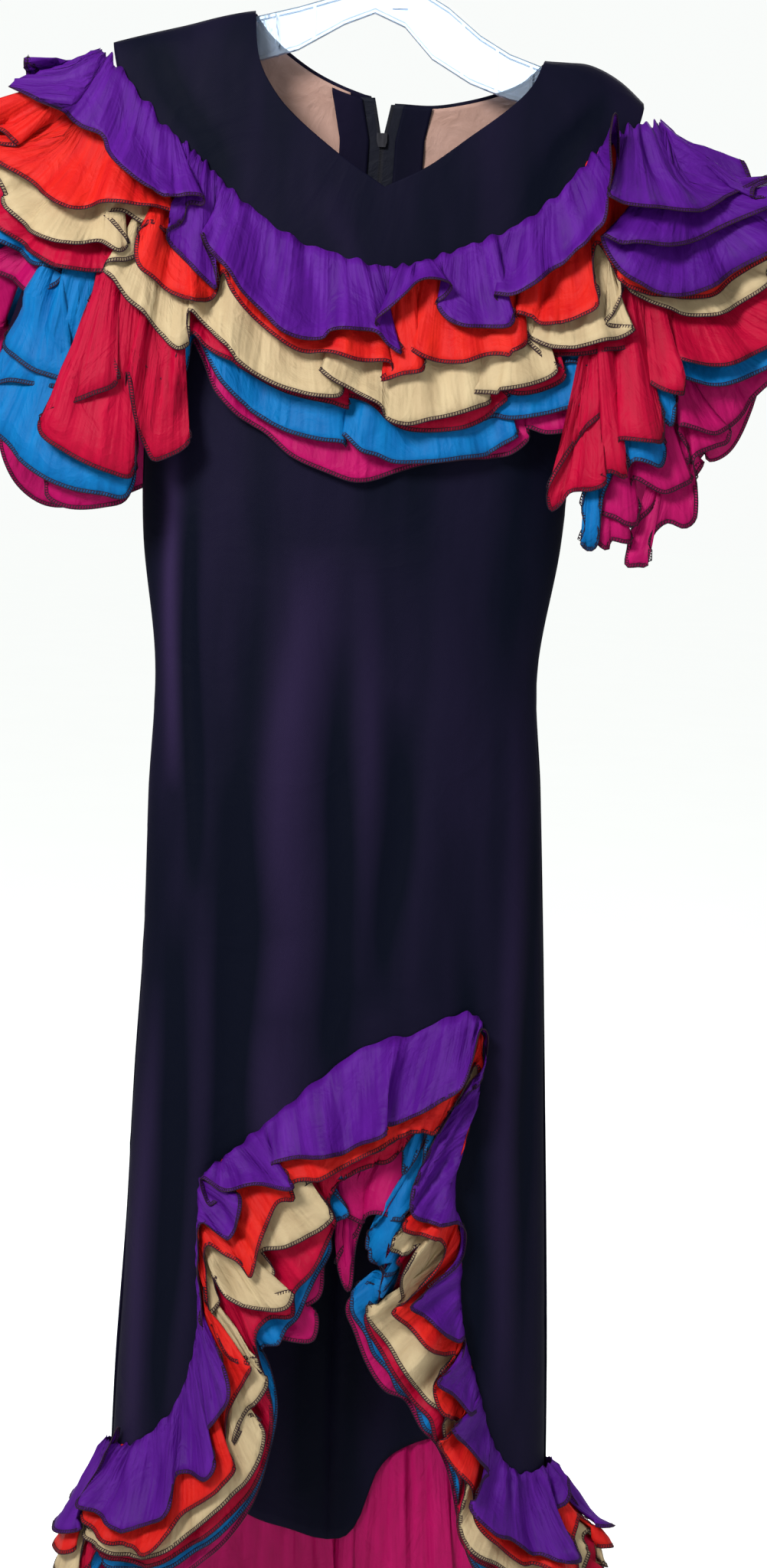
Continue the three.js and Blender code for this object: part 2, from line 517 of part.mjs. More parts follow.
/** A strip or panel inside the back: columns by distance from the centre line, layer by depth. */
function backInset(distances, sign, topAt, endZ, layer, thick, rows) {
  const outer = [];
  const inner = [];
  for (let r = 0; r <= rows; r += 1) {
    const outerRow = [];
    const innerRow = [];
    for (const distance of distances) {
      const reach = Math.min(distance, distances[distances.length - 1]);
      const top = topAt(sign * reach);
      const z = mix(top, endZ, r / rows);
      const x = centreAt(z) + sign * (distance + slotAt(z) - ZIP.slot);
      outerRow.push(sheathPoint(x, z, 1, layer));
      innerRow.push(sheathPoint(x, z, 1, layer + thick));
    }
    outer.push(outerRow);
    inner.push(innerRow);
  }
  return clothWall(outer, inner);
}

const wasm = await Module();
wasm.setup();

/** A closed geometry as a solid for a join or a cut. */
function toSolid(geometry) {
  const bare = geometry.clone();
  bare.deleteAttribute('normal');
  bare.deleteAttribute('uv');
  const merged = mergeVertices(bare, 1e-4);
  return new wasm.Manifold(new wasm.Mesh({
    numProp: 3,
    vertProperties: new Float32Array(merged.attributes.position.array),
    triVerts: new Uint32Array(merged.index.array),
  }));
}

/** The closed geometry of a solid. */
function fromSolid(solid) {
  const mesh = solid.getMesh();
  const geometry = new THREE.BufferGeometry();
  geometry.setAttribute('position', new THREE.BufferAttribute(new Float32Array(mesh.vertProperties), 3));
  geometry.setIndex(new THREE.BufferAttribute(new Uint32Array(mesh.triVerts), 1));
  geometry.computeVertexNormals();
  return geometry;
}

/** An outline in the X-Z plane, given a thickness centred on y. */
function slab(outline, thick, y = 0, holes = []) {
  const shape = new THREE.Shape(outline.map(([x, z]) => new THREE.Vector2(x, z)));
  for (const hole of holes) shape.holes.push(new THREE.Path(hole.map(([x, z]) => new THREE.Vector2(x, z))));
  const geometry = new THREE.ExtrudeGeometry(shape, { depth: thick, bevelEnabled: false, curveSegments: 6 });
  geometry.rotateX(Math.PI / 2);
  geometry.translate(0, y + thick / 2, 0);
  return geometry;
}

const rectangle = (x, z, width, height) => [
  [x - width / 2, z - height / 2],
  [x + width / 2, z - height / 2],
  [x + width / 2, z + height / 2],
  [x - width / 2, z + height / 2],
];

/** A strip of even height that hangs from, or stands on, a line of the hanger. */
const railStrip = (line, height) => [
  ...line.map(({ x, z }) => [x, z]),
  ...[...line].reverse().map(({ x, z }) => [x, z - height]),
];

/** The hanger's arms: a thin web between two wide rails, closed at the tips and stiffened by ribs. */
function hangerBody() {
  const low = HANGER_LOW.map(({ x, z }) => ({ x, z: z + RAIL.height }));
  const web = [...HANGER_TOP, ...[...HANGER_LOW].reverse()].map(({ x, z }) => [x, z]);
  const parts = [
    slab(web, WEB_THICK),
    slab(railStrip(HANGER_TOP, RAIL.height), RAIL.depth),
    slab(railStrip(low, RAIL.height), RAIL.depth),
  ];
  for (const x of RIBS) {
    const top = smoothAt(HANGER_TOP, 'x', 'z', x) - RIB.bury;
    const bottom = smoothAt(HANGER_LOW, 'x', 'z', x) + RIB.bury;
    parts.push(slab(rectangle(x, (top + bottom) / 2, RIB.width, top - bottom), RIB.depth));
  }
  const tips = [HANGER_TOP[0], HANGER_TOP[HANGER_TOP.length - 1]];
  const tipLow = [HANGER_LOW[0], HANGER_LOW[HANGER_LOW.length - 1]];
  tips.forEach(({ x, z }, i) => {
    const inward = (i === 0 ? TIP_WALL : -TIP_WALL) / 2;
    const wall = rectangle(x + inward, (z + tipLow[i].z) / 2, TIP_WALL, z - tipLow[i].z);
    parts.push(slab(wall, RAIL.depth));
  });
  const boss = slab(rectangle(BOSS.x, BOSS.z, BOSS.width, BOSS.height), RAIL.depth);
  return fromSolid(parts.reduce((solid, part) => solid.add(toSolid(part)), toSolid(boss)));
}

/** The wire hook: over the rod, round under it and down into the hub. */
function hangerHook() {
  const { radius, wire, neckX, neckZ, tipDrop, turnEnd, straight } = HOOK;
  const centreZ = -radius + wire;
  const points = [];
  points.push(new THREE.Vector3(-radius, 0, centreZ - tipDrop));
  for (let a = 180; a >= turnEnd; a -= 45) {
    const angle = (a * Math.PI) / 180;
    points.push(new THREE.Vector3(radius * Math.cos(angle), 0, centreZ + radius * Math.sin(angle)));
  }
  for (const rise of straight) points.push(new THREE.Vector3(neckX, 0, neckZ + rise));
  const path = new THREE.CatmullRomCurve3(points, false, 'centripetal');
  const section = new THREE.Shape();
  section.absarc(0, 0, wire, 0, 2 * Math.PI);
  const sweep = { steps: 26, curveSegments: 5, bevelEnabled: false, extrudePath: path };
  return new THREE.ExtrudeGeometry(section, sweep);
}

/** Depth of the back's outer face on the zip's centre line. */
const zipFace = (z) => sheathDepth(centreAt(z), z) + SEAM_GAP / 2;

/** The closed length of the zip, from under the slider to its bottom end. */
function zipChain() {
  const outer = [];
  const inner = [];
  const rows = 12;
  const start = ZIP.slider - SLIDER.height / 2 - SEAM_GAP;
  for (let r = 0; r <= rows; r += 1) {
    const z = mix(start, ZIP.chainEnd, r / rows);
    const row = (inward) => [-1, 1].map((side) => new THREE.Vector3(
      centreAt(z) + (side * ZIP.chainWidth) / 2,
      zipFace(z) - inward,
      z,
    ));
    outer.push(row(CREPE - ZIP.chainProud));
    inner.push(row(CREPE - ZIP.chainProud + ZIP.chainThick));
  }
  return clothWall(outer, inner);
}

/** Depth of the bar on which the pull tab swings. */
const pullPivotY = () => zipFace(ZIP.slider) + SLIDER.outerAt + SLIDER.plate / 2 + BAIL.clear;

/** The slider: an inner and an outer plate joined by a web, with the bail that holds the pull. */
function zipSlider() {
  const x = centreAt(ZIP.slider);
  const face = zipFace(ZIP.slider);
  const house = [[-1, 0.5], [1, 0.5], [1, -0.08], [0.68, -0.5], [-0.68, -0.5], [-1, -0.08]];
  const outline = house.map(([across, up]) => [
    x + across * SLIDER.innerHalf,
    ZIP.slider + up * SLIDER.height,
  ]);
  const innerPlate = slab(outline, SLIDER.plate, face + SLIDER.innerAt);
  const middle = (SLIDER.innerAt + SLIDER.outerAt) / 2;
  const webOutline = rectangle(x, ZIP.slider + SLIDER.webRise, SLIDER.web, SLIDER.webHeight);
  const web = slab(webOutline, SLIDER.outerAt - SLIDER.innerAt, face + middle);
  const outerOutline = rectangle(x, ZIP.slider, SLIDER.outerWidth, SLIDER.height);
  const outerPlate = slab(outerOutline, SLIDER.plate, face + SLIDER.outerAt);
  const pivotY = pullPivotY();
  const reach = BAIL.clear + BAIL.wall;
  const stand = BAIL.clear + BAIL.sunk;
  const blockOutline = rectangle(x, ZIP.slider, BAIL.width, 2 * reach);
  const block = slab(blockOutline, reach + stand, pivotY + (reach - stand) / 2);
  const eyeOutline = rectangle(x, ZIP.slider, BAIL.width + BAIL.eyeExtra, 2 * BAIL.clear);
  const eye = slab(eyeOutline, 2 * BAIL.clear, pivotY);
  const bail = toSolid(block).subtract(toSolid(eye));
  return fromSolid(toSolid(innerPlate).add(toSolid(web)).add(toSolid(outerPlate)).add(bail));
}

/** The pull tab, hanging from a bar that passes under the bail. */
function zipPull() {
  const x = centreAt(ZIP.slider);
  const pivotY = pullPivotY();
  const top = ZIP.slider + PULL.bar / 2;
  const outline = [
    ...PULL_OUTLINE.map(({ half, drop }) => [x + half, top - drop]),
    ...[...PULL_OUTLINE].reverse().map(({ half, drop }) => [x - half, top - drop]),
  ];
  const window = rectangle(x, top - PULL.bar - PULL.windowHeight / 2, PULL.windowWidth, PULL.windowHeight);
  return slab(outline, PULL.thick, pivotY, [window]);
}

// ---------------------------------------------------------------- the dress

const group = new THREE.Group();

/** Adds one named sub-part with its own material. */
function add(name, geometry, color, roughness = 0.85, metalness = 0) {
  const mesh = new THREE.Mesh(geometry, new THREE.MeshStandardMaterial({ color, roughness, metalness }));
  mesh.name = name;
  group.add(mesh);
}

const CREPE_BLACK = 0x10121f;
const FACING_BLACK = 0x14141c;
const LINING_TAN = 0xb48c74;

/** Height of the back neckline at a distance from the centre line, less a drop. */
const belowNeck = (drop) => (x) => {
  const grain = x > 0 ? BACK_LEFT_GRAIN : BACK_RIGHT_GRAIN;
  return smoothAt(grain, 'topX', 'topZ', x + centreAt(NECK_PLACE_Z)) - drop;
};

add('front_panel', sheathPanel(FRONT_GRAIN, -1, -1, 1), CREPE_BLACK);
add('back_left', sheathPanel(BACK_LEFT_GRAIN, 1, 0, 1, 1), CREPE_BLACK);
add('back_right', sheathPanel(BACK_RIGHT_GRAIN, 1, 0, -1, -1), CREPE_BLACK);
add('sleeve_right', flutterSleeve(0, 4), CREPE_BLACK);
add('sleeve_left', flutterSleeve(16, -4), CREPE_BLACK);

const facingStrip = [ZIP.facingInner, 22, 31, ZIP.facingOuter];
const tapeStrip = [ZIP.tapeInner, ZIP.tapeOuter];
const tapeLayer = CREPE + SEAM_GAP;
const facingLayer = tapeLayer + LINING_CLOTH + 2 * SEAM_GAP;
for (const [name, sign] of [['left', 1], ['right', -1]]) {
  const tape = backInset(tapeStrip, sign, belowNeck(1), ZIP.bottom, tapeLayer, LINING_CLOTH, 10);
  const facing = backInset(facingStrip, sign, belowNeck(2), FACING_END_Z, facingLayer, LINING_CLOTH, 6);
  const lining = backLining(sign > 0 ? BACK_LEFT_GRAIN : BACK_RIGHT_GRAIN, sign);
  add(`zip_tape_${name}`, tape, FACING_BLACK);
  add(`zip_facing_${name}`, facing, CREPE_BLACK);
  add(`lining_back_${name}`, lining, LINING_TAN);
}
add('zip_chain', zipChain(), 0x202028, 0.4, 0.6);
add('zip_slider', zipSlider(), 0x26262e, 0.35, 0.8);
add('zip_pull', zipPull(), 0x26262e, 0.35, 0.8);

TIERS.forEach((tier, i) => {
  add(`bertha_${i + 1}_${tier}`, ruffleTier(BERTHA, i, BERTHA_FOLDS, 0), TIER_COLOURS[i], 0.7);
});
TIERS.forEach((tier, i) => {
  add(`hem_${i + 1}_${tier}`, ruffleTier(HEM, i, HEM_FOLDS, 1), TIER_COLOURS[i], 0.7);
});

add('hanger_body', hangerBody(), 0xe8f0f8, 0.1);
add('hanger_hook', hangerHook(), 0xb8bcc4, 0.25, 1);

export default group;
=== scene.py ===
"""A rumba dress on a clear hanger: fitted crepe sheath, ruffled bertha, ruffled arch and hem.

Lengths are millimetres, +Z up, the front faces -Y, until put_mesh() turns them into metres.
"""
import logging
import math
from dataclasses import dataclass, field
from enum import Enum

import bpy
import numpy as np
from mathutils import Matrix


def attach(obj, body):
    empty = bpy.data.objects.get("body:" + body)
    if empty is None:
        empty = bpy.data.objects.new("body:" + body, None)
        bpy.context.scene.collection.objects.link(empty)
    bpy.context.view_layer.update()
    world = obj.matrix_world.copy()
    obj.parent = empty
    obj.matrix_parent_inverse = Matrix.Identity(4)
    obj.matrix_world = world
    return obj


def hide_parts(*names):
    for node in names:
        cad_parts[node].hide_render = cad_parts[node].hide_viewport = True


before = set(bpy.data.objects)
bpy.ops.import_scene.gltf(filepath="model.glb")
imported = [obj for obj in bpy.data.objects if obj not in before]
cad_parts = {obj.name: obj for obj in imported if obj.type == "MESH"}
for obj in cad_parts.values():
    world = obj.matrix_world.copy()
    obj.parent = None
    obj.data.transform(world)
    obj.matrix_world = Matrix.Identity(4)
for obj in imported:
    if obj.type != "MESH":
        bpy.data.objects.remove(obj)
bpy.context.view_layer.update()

LOG = logging.getLogger("dress")
METRES = 0.001
DRESS = "dress"
TURN = 2.0 * math.pi
WAIST = -680.0
Array = np.ndarray
Value = Array | float
Pair = tuple[float, float]
Triple = tuple[float, float, float]
Quad = tuple[float, float, float, float]
Piece, Material = bpy.types.Object, bpy.types.Material
Tree, Node, Socket = bpy.types.NodeTree, bpy.types.Node, bpy.types.NodeSocket


class Tier(Enum):
    """The six ruffles of a stack, from the top one down."""

    PURPLE = 0
    ORANGE = 1
    CREAM = 2
    CRIMSON = 3
    BLUE = 4
    MAGENTA = 5


# ---- curves through tables


def mix(a: Value, b: Value, t: Value) -> Value:
    """The value a share t of the way from a to b."""
    return a + (b - a) * t


def table(text: str) -> Array:
    """Rows of numbers from text: commas stand inside a row, blanks between rows."""
    return np.array([row.split(",") for row in text.split()], dtype=float)


def hermite(a: Value, b: Value, leave: Value, arrive: Value, t: Value) -> Value:
    """The cubic from a to b whose end slopes, as rises over the whole span, are leave and arrive."""
    return ((1 + 2 * t) * (1 - t) ** 2 * a + t * (1 - t) ** 2 * leave + t**2 * (3 - 2 * t) * b
            + t**2 * (t - 1) * arrive)


def catmull(four: list[Array], t: Array) -> Array:
    """The uniform cubic between the middle two of four rows of values, a share t along."""
    a, b, c, d = four
    return 0.5 * (2 * b + (c - a) * t + (2 * a - 5 * b + 4 * c - d) * t**2
                  + (3 * b - a - 3 * c + d) * t**3)


@dataclass(frozen=True)
class Curve:
    """A smooth curve through a table's rows: a cubic in each span, with the chord slope at rows."""

    keys: Array
    values: Array

    @classmethod
    def of(cls, rows: Array, column: int) -> "Curve":
        """A curve of one column against the first, in rising order."""
        rising = rows[np.argsort(rows[:, 0])]
        return cls(rising[:, 0], rising[:, column])

    def at(self, place: Value) -> Array:
        """The curve's value, held level past its ends.

        Args:
            place: where along the first column.

        Returns:
            The cubic of the span that holds each place.
        """
        k, v = self.keys, self.values
        place = np.clip(np.asarray(place, dtype=float), k[0], k[-1])
        i = np.clip(np.searchsorted(k, place, side="right") - 1, 0, len(k) - 2)
        ends = np.arange(len(k))
        before, after = np.maximum(ends - 1, 0), np.minimum(ends + 1, len(k) - 1)
        slope = (v[after] - v[before]) / (k[after] - k[before])
        width = k[i + 1] - k[i]
        return hermite(v[i], v[i + 1], width * slope[i], width * slope[i + 1], (place - k[i]) / width)


def round_at(rows: Array, share: Value) -> Array:
    """Values of a closed table at a share of the way round it.

    Args:
        rows: one row of values for each station.
        share: where, 0 to 1 once round.

    Returns:
        The uniform cubic through four neighbouring stations, one column for each value.
    """
    n = len(rows)
    place = (np.asarray(share, dtype=float) % 1.0) * n
    i = np.floor(place).astype(int) % n
    t = (place - np.floor(place))[..., None]
    return catmull([rows[(i + step) % n] for step in range(-1, 3)], t)


def through(rows: Array, breaks: tuple[int, ...], per: int) -> Array:
    """A smooth curve through rows.

    Args:
        rows: the values it runs through.
        breaks: rows at which it turns a corner, the first and last row among them.
        per: points for each span.

    Returns:
        The points, one row for each.
    """
    pieces = []
    for first, last in zip(breaks[:-1], breaks[1:]):
        run = rows[first:last + 1]
        padded = np.vstack([2 * run[0] - run[1], run, 2 * run[-1] - run[-2]])
        place = np.arange((last - first) * per) / per
        i = place.astype(int) + 1
        t = (place - np.floor(place))[:, None]
        pieces.append(catmull([padded[i + step] for step in range(-1, 3)], t))
    return np.vstack(pieces + [rows[breaks[-1]][None, :]])


def round_lengths(path: Array) -> Array:
    """The distance run at each point of a closed path, and on its return to the first."""
    run = np.linalg.norm(np.roll(path, -1, axis=0) - path, axis=1)
    return np.concatenate([[0.0], np.cumsum(run)])


def read_along(values: Array, place: Array, where: Array) -> Array:
    """Columns of values known at rising places, read at other places."""
    return np.column_stack([np.interp(where, place, column) for column in values.T])


def waves(along: Array, phase: float, parts: Array) -> Array:
    """The sum of amount sin(times along + shift phase), for rows of times, amount and shift."""
    return sum(amount * np.sin(times * along + shift * phase) for times, amount, shift in parts)


def unit(vectors: Array) -> Array:
    """The vectors scaled to length 1."""
    return vectors / np.maximum(np.linalg.norm(vectors, axis=-1, keepdims=True), 1e-9)


# ---- the view


@dataclass(frozen=True)
class View:
    """The standing view: where the eye is, and how it sees a point in its 1002 x 2048 frame."""

    target: Triple = (8.0, 0.0, -790.0)
    distance: float = 2400.0
    pitch: float = 7.0
    roll: float = 1.8
    width: float = 1002.0
    height: float = 2048.0
    focal: float = 3265.0
    sensor: float = 36.0

    def axes(self) -> Array:
        """Rows: right, up and forward of the eye, turned by roll about its line of sight.

        Returns:
            Three rows of unit vectors.
        """
        p, r = math.radians(self.pitch), math.radians(self.roll)
        ahead = np.array([0.0, math.cos(p), -math.sin(p)])
        up = np.array([0.0, math.sin(p), math.cos(p)])
        x = np.array([1.0, 0.0, 0.0])
        right = math.cos(r) * x + math.sin(r) * up
        return np.array([right, -math.sin(r) * x + math.cos(r) * up, ahead])

    def eye(self) -> Array:
        """The eye's place: back from the target along the line of sight."""
        return np.array(self.target) - self.axes()[2] * self.distance

    def seen(self, points: Array) -> Array:
        """Across and down of points in the frame: focal times sideways over forward distance.

        Args:
            points: places, x y z last.

        Returns:
            Their pixels, across and down last.
        """
        local = (points - self.eye()) @ self.axes().T
        across = self.width / 2 + self.focal * local[..., 0] / local[..., 2]
        down = self.height / 2 - self.focal * local[..., 1] / local[..., 2]
        return np.stack([across, down], axis=-1)

    def camera(self) -> None:
        """Makes the scene's camera."""
        data = bpy.data.cameras.new("view")
        data.sensor_width = self.sensor
        data.lens = self.focal * self.sensor / self.height
        data.clip_end = 50.0
        camera = stand("view", data)
        right, up, ahead = self.axes()
        camera.matrix_world = turned([right, up, -ahead], self.eye() * METRES)
        bpy.context.scene.camera = camera


VIEW = View()

# ---- the sheath's form

CREPE = 1.5
SEAM_GAP = 0.4

# z, centre line, half width of the cut, half width at which front and back would meet, half depth
SHEATH_ROWS = table("""
    -40,-12,254,300,34 -100,-12,252,300,38 -160,-12,239,300,42 -220,-14,222,290,45 -300,-20,208,262,47
    -360,-23,204,226,48 -410,-25,203,203,49 -555,-29,198,198,50 -680,-31,182,182,50 -810,-29,188,188,52
    -960,-26,193,193,54 -1110,-26,200,200,56 -1266,-25,206,206,58 -1423,-26,213,213,60 -1580,-26,217,217,62
    -1760,-26,221,221,64
""")
# the shoulder seam, carried straight across the open neck: x, z
SHOULDER_ROWS = table("""
    -290,-116 -264,-106 -197,-89 -134,-73 136,-110 176,-112 206,-126 240,-156 270,-178
""")
# soft creases hung from the bust and hips: side, x and z of the top, x and z of the bottom,
# half width, height (a trough is negative) and painted sheen on its line (negative: painted shade)
CREASES = table("""
    -1,-74,-560,-88,-1010,30,5,1 -1,-92,-930,-72,-1330,26,3.4,0.8 -1,-118,-600,-128,-1420,20,-4.5,-0.6
    -1,-34,-640,-30,-1080,17,-3.2,-0.5 -1,-14,-560,-8,-980,14,2.2,0.4 -1,24,-700,14,-1010,16,-3,-0.5
    -1,62,-560,58,-980,20,2.8,0.15 -1,92,-820,110,-1560,14,-3,-0.4 -1,132,-700,142,-1400,11,3,0.5
    -1,151,-640,160,-1430,7,-3,-0.4 -1,-200,-455,-194,-800,8,3.2,1.5 -1,-180,-500,-170,-900,9,-3.4,-0.6
    -1,-206,-980,-226,-1540,10,3.2,0.7 -1,-178,-900,-196,-1480,12,-3.6,-0.5
    -1,-152,-880,-170,-1470,13,2.6,0.35 -1,-230,-90,-150,-250,16,-2.6,-0.3
    -1,196,-130,120,-270,15,-2.4,-0.3 -1,-60,-230,-30,-330,14,1.6,0.2 1,-70,-380,-96,-1180,26,4.4,0.9
    1,-110,-520,-140,-1540,20,-4.2,-0.6 1,-36,-700,-50,-1600,15,-2.8,-0.4 1,22,-640,30,-1500,17,3.2,0.5
    1,66,-460,76,-1290,22,-4,-0.5 1,104,-620,120,-1500,16,3.2,0.5 1,-166,-600,-190,-1500,14,3.4,0.6
    1,-60,-160,-120,-300,15,-2.2,-0.3 1,60,-170,110,-290,16,2,0.3
""")


@dataclass(frozen=True)
class SheathForm:
    """The sheath's shape: half depths over its front and back, rounded to its side seams."""

    side_power: float = 2.6
    shoulder_round: float = 45.0
    slot: float = 3.6
    mouth: float = 11.0
    zip_top: float = -146.0
    slider_z: float = -182.0
    slot_end: float = -616.0
    mouth_growth: float = 1.2
    overlap: float = 0.3
    probe: float = 0.4
    centre: Curve = field(default_factory=lambda: Curve.of(SHEATH_ROWS, 1))
    cut: Curve = field(default_factory=lambda: Curve.of(SHEATH_ROWS, 2))
    meet: Curve = field(default_factory=lambda: Curve.of(SHEATH_ROWS, 3))
    depth: Curve = field(default_factory=lambda: Curve.of(SHEATH_ROWS, 4))
    shoulder: Curve = field(default_factory=lambda: Curve.of(SHOULDER_ROWS, 1))

    def half_depth(self, x: Array, z: Array) -> Array:
        """depth(z) sqrt(1 - (|x - centre| / meet)^power) sqrt(1 - exp(-below the shoulder / round)).

        Args:
            x: places across.
            z: places up.

        Returns:
            Depths from the centre plane.
        """
        across = np.minimum(np.abs(x - self.centre.at(z)) / self.meet.at(z), 1.0)
        below = np.maximum(self.shoulder.at(x) - z, 0.0)
        side = np.sqrt(1 - across**self.side_power)
        return self.depth.at(z) * side * np.sqrt(1 - np.exp(-below / self.shoulder_round))

    def face(self, x: Array, z: Array) -> Array:
        """How far the outer face stands from the centre plane."""
        return self.half_depth(x, z) + SEAM_GAP / 2

    def across(self, share: Array, z: Array) -> Array:
        """Places across, from shares of the cut's half width at given heights."""
        return self.centre.at(z) + self.cut.at(z) * share

    def share(self, x: Array, z: Array) -> Array:
        """The share of the cut's half width at which places lie."""
        return (x - self.centre.at(z)) / self.cut.at(z)

    def slot_half(self, z: Array) -> Array:
        """Half the opening between the back panels: wide at the open zip, shut below it."""
        share = np.clip((z - self.slider_z) / (self.zip_top - self.slider_z), 0, self.mouth_growth)
        open_half = mix(self.slot, self.mouth, share)
        return np.where(z > self.slot_end, open_half, -self.overlap)

    def crease(self, x: Array, z: Array, side: int) -> tuple[Array, Array]:
        """Soft creases of one side.

        Args:
            x: places across.
            z: places up.
            side: -1 for the front, 1 for the back.

        Returns:
            The height added, and the painted sheen (painted shade where negative): each crease is a
            bell across its line, exp(-(offset / width)^2), times a smooth rise and fall along it.
        """
        height, sheen = np.zeros_like(x), np.zeros_like(x)
        for where, x0, z0, x1, z1, width, rise, painted_shine in CREASES:
            if where != side:
                continue
            along = np.clip((z0 - z) / (z0 - z1), 0, 1)
            line = mix(x0, x1, along) + 0.25 * width * np.sin(7 * along + x0)
            bell = np.exp(-(((x - line) / width) ** 2)) * np.sin(math.pi * along) ** 0.7
            height += rise * bell
            # painted sheen: a lighter colour along a crest, painted shade where the value is negative
            sheen += painted_shine * bell
        return height, sheen

    def point(self, x: Array, z: Array, side: int, inward: Value = 0.0) -> Array:
        """Points of the outer face, or inside it.

        Args:
            x: places across.
            z: places up.
            side: -1 for the front, 1 for the back.
            inward: how far each is moved in, square to the face, but not past the centre plane.

        Returns:
            Points, x y z last.
        """
        step = self.probe
        slope_x = (self.half_depth(x + step, z) - self.half_depth(x - step, z)) / (2 * step)
        slope_z = (self.half_depth(x, z + step) - self.half_depth(x, z - step)) / (2 * step)
        out = unit(np.stack([-slope_x, np.full_like(slope_x, side), -slope_z], axis=-1))
        y = side * self.face(x, z)
        place = np.stack([x, y, z], axis=-1) - out * np.asarray(inward)[..., None]
        place[..., 1] = side * np.maximum(side * place[..., 1], SEAM_GAP / 2)
        return place


FORM = SheathForm()

# grain lines of each panel: x and z at the neck or shoulder, x and z at the hem
FRONT_GRAIN = table("""
    -264,-107,-256,-1568 -230,-98,-240,-1567 -197,-90,-205,-1548 -165,-82,-165,-1518 -132,-75,-130,-1455
    -127,-118,-110,-1366 -114,-146,-94,-1286 -92,-172,-86,-1226 -50,-206,-60,-1165 -8,-234,-12,-1117
    30,-215,24,-1110 68,-187,43,-1130 103,-160,48,-1210 124,-138,62,-1310 136,-112,92,-1407
    158,-113,117,-1495 180,-115,154,-1556 208,-129,190,-1566 240,-157,205,-1566
""")
BACK_LEFT_GRAIN = table("""
    2,-148,-20,-1665 34,-149,22,-1661 62,-145,62,-1650 90,-138,100,-1633 116,-128,134,-1614
    136,-112,160,-1598 158,-113,178,-1586 180,-115,190,-1577 208,-129,198,-1571 240,-157,205,-1566
""")
BACK_RIGHT_GRAIN = table("""
    -26,-142,-32,-1665 -52,-133,-74,-1661 -76,-122,-114,-1650 -98,-108,-152,-1633 -118,-92,-186,-1614
    -132,-75,-212,-1598 -165,-82,-230,-1586 -197,-90,-242,-1577 -230,-98,-250,-1571 -264,-107,-256,-1568
""")

# the edge of the back over the innermost ruffle: x, z
BACK_EDGE = table("""
    -260,-1500 -185,-1508 -140,-1530 -100,-1556 -62,-1568 -30,-1577 -5,-1572 9,-1548 21,-1508 42,-1481
    90,-1462 150,-1472 217,-1492
""")

# ---- the ruffle stacks' forms

# once round from over the right arm, across the front: seam x, z, y; lowest edge x, z, y;
# how much it hangs over an arm
BERTHA_ROWS = table("""
    -273,-118,0,-392,-455,0,1 -263,-122,-14,-375,-505,-44,1 -240,-150,-28,-312,-535,-64,1
    -210,-185,-30,-244,-528,-66,0.8 -180,-210,-30,-196,-486,-57,0.3 -140,-248,-30,-148,-458,-51,0
    -91,-282,-30,-85,-485,-40,0 -45,-297,-30,-39,-500,-30,0 -4,-306,-30,-6,-502,-30,0
    32,-299,-30,42,-492,-30,0 71,-284,-30,88,-476,-40,0 112,-266,-30,128,-466,-52,0
    150,-236,-30,166,-480,-57,0.3 184,-196,-30,208,-524,-66,0.8 214,-172,-26,262,-556,-64,1
    238,-166,-12,330,-525,-44,1 247,-164,0,368,-460,0,1 238,-170,12,332,-520,44,1 212,-186,26,262,-545,64,1
    170,-224,30,198,-505,62,0.6 112,-264,30,126,-474,53,0 48,-286,30,54,-484,30,0 -16,-292,30,-18,-490,30,0
    -80,-284,30,-88,-484,30,0 -142,-258,30,-160,-478,53,0 -198,-212,30,-228,-508,62,0.6
    -238,-160,28,-300,-535,64,1 -263,-126,14,-376,-500,44,1
""")
# the same along the hem, up the arched opening and down again
HEM_ROWS = table("""
    -246,-1452,0,-276,-1640,0,0 -239,-1450,-14,-266,-1644,-34,0 -212,-1440,-30,-226,-1640,-44,0
    -176,-1398,-30,-160,-1598,-44,0 -158,-1338,-30,-112,-1516,-44,0 -155,-1272,-30,-80,-1420,-44,0
    -158,-1206,-30,-54,-1330,-44,0 -150,-1146,-30,-42,-1258,-44,0 -107,-1090,-30,-28,-1204,-44,0
    -31,-1037,-30,-4,-1172,-44,0 44,-1014,-30,14,-1168,-44,0 104,-1004,-30,28,-1176,-44,0
    112,-1064,-30,30,-1196,-44,0 104,-1134,-30,20,-1236,-44,0 98,-1204,-30,12,-1282,-44,0
    100,-1272,-30,30,-1330,-44,0 114,-1346,-30,58,-1404,-44,0 132,-1420,-30,92,-1500,-44,0
    158,-1458,-30,146,-1612,-44,0 186,-1462,-14,208,-1636,-36,0 195,-1460,0,226,-1636,0,0
    186,-1464,14,212,-1650,36,0 136,-1492,30,150,-1690,44,0 62,-1526,30,68,-1722,44,0
    -25,-1542,30,-26,-1738,44,0 -112,-1524,30,-118,-1720,44,0 -186,-1490,30,-200,-1688,44,0
    -237,-1458,14,-262,-1652,36,0
""")


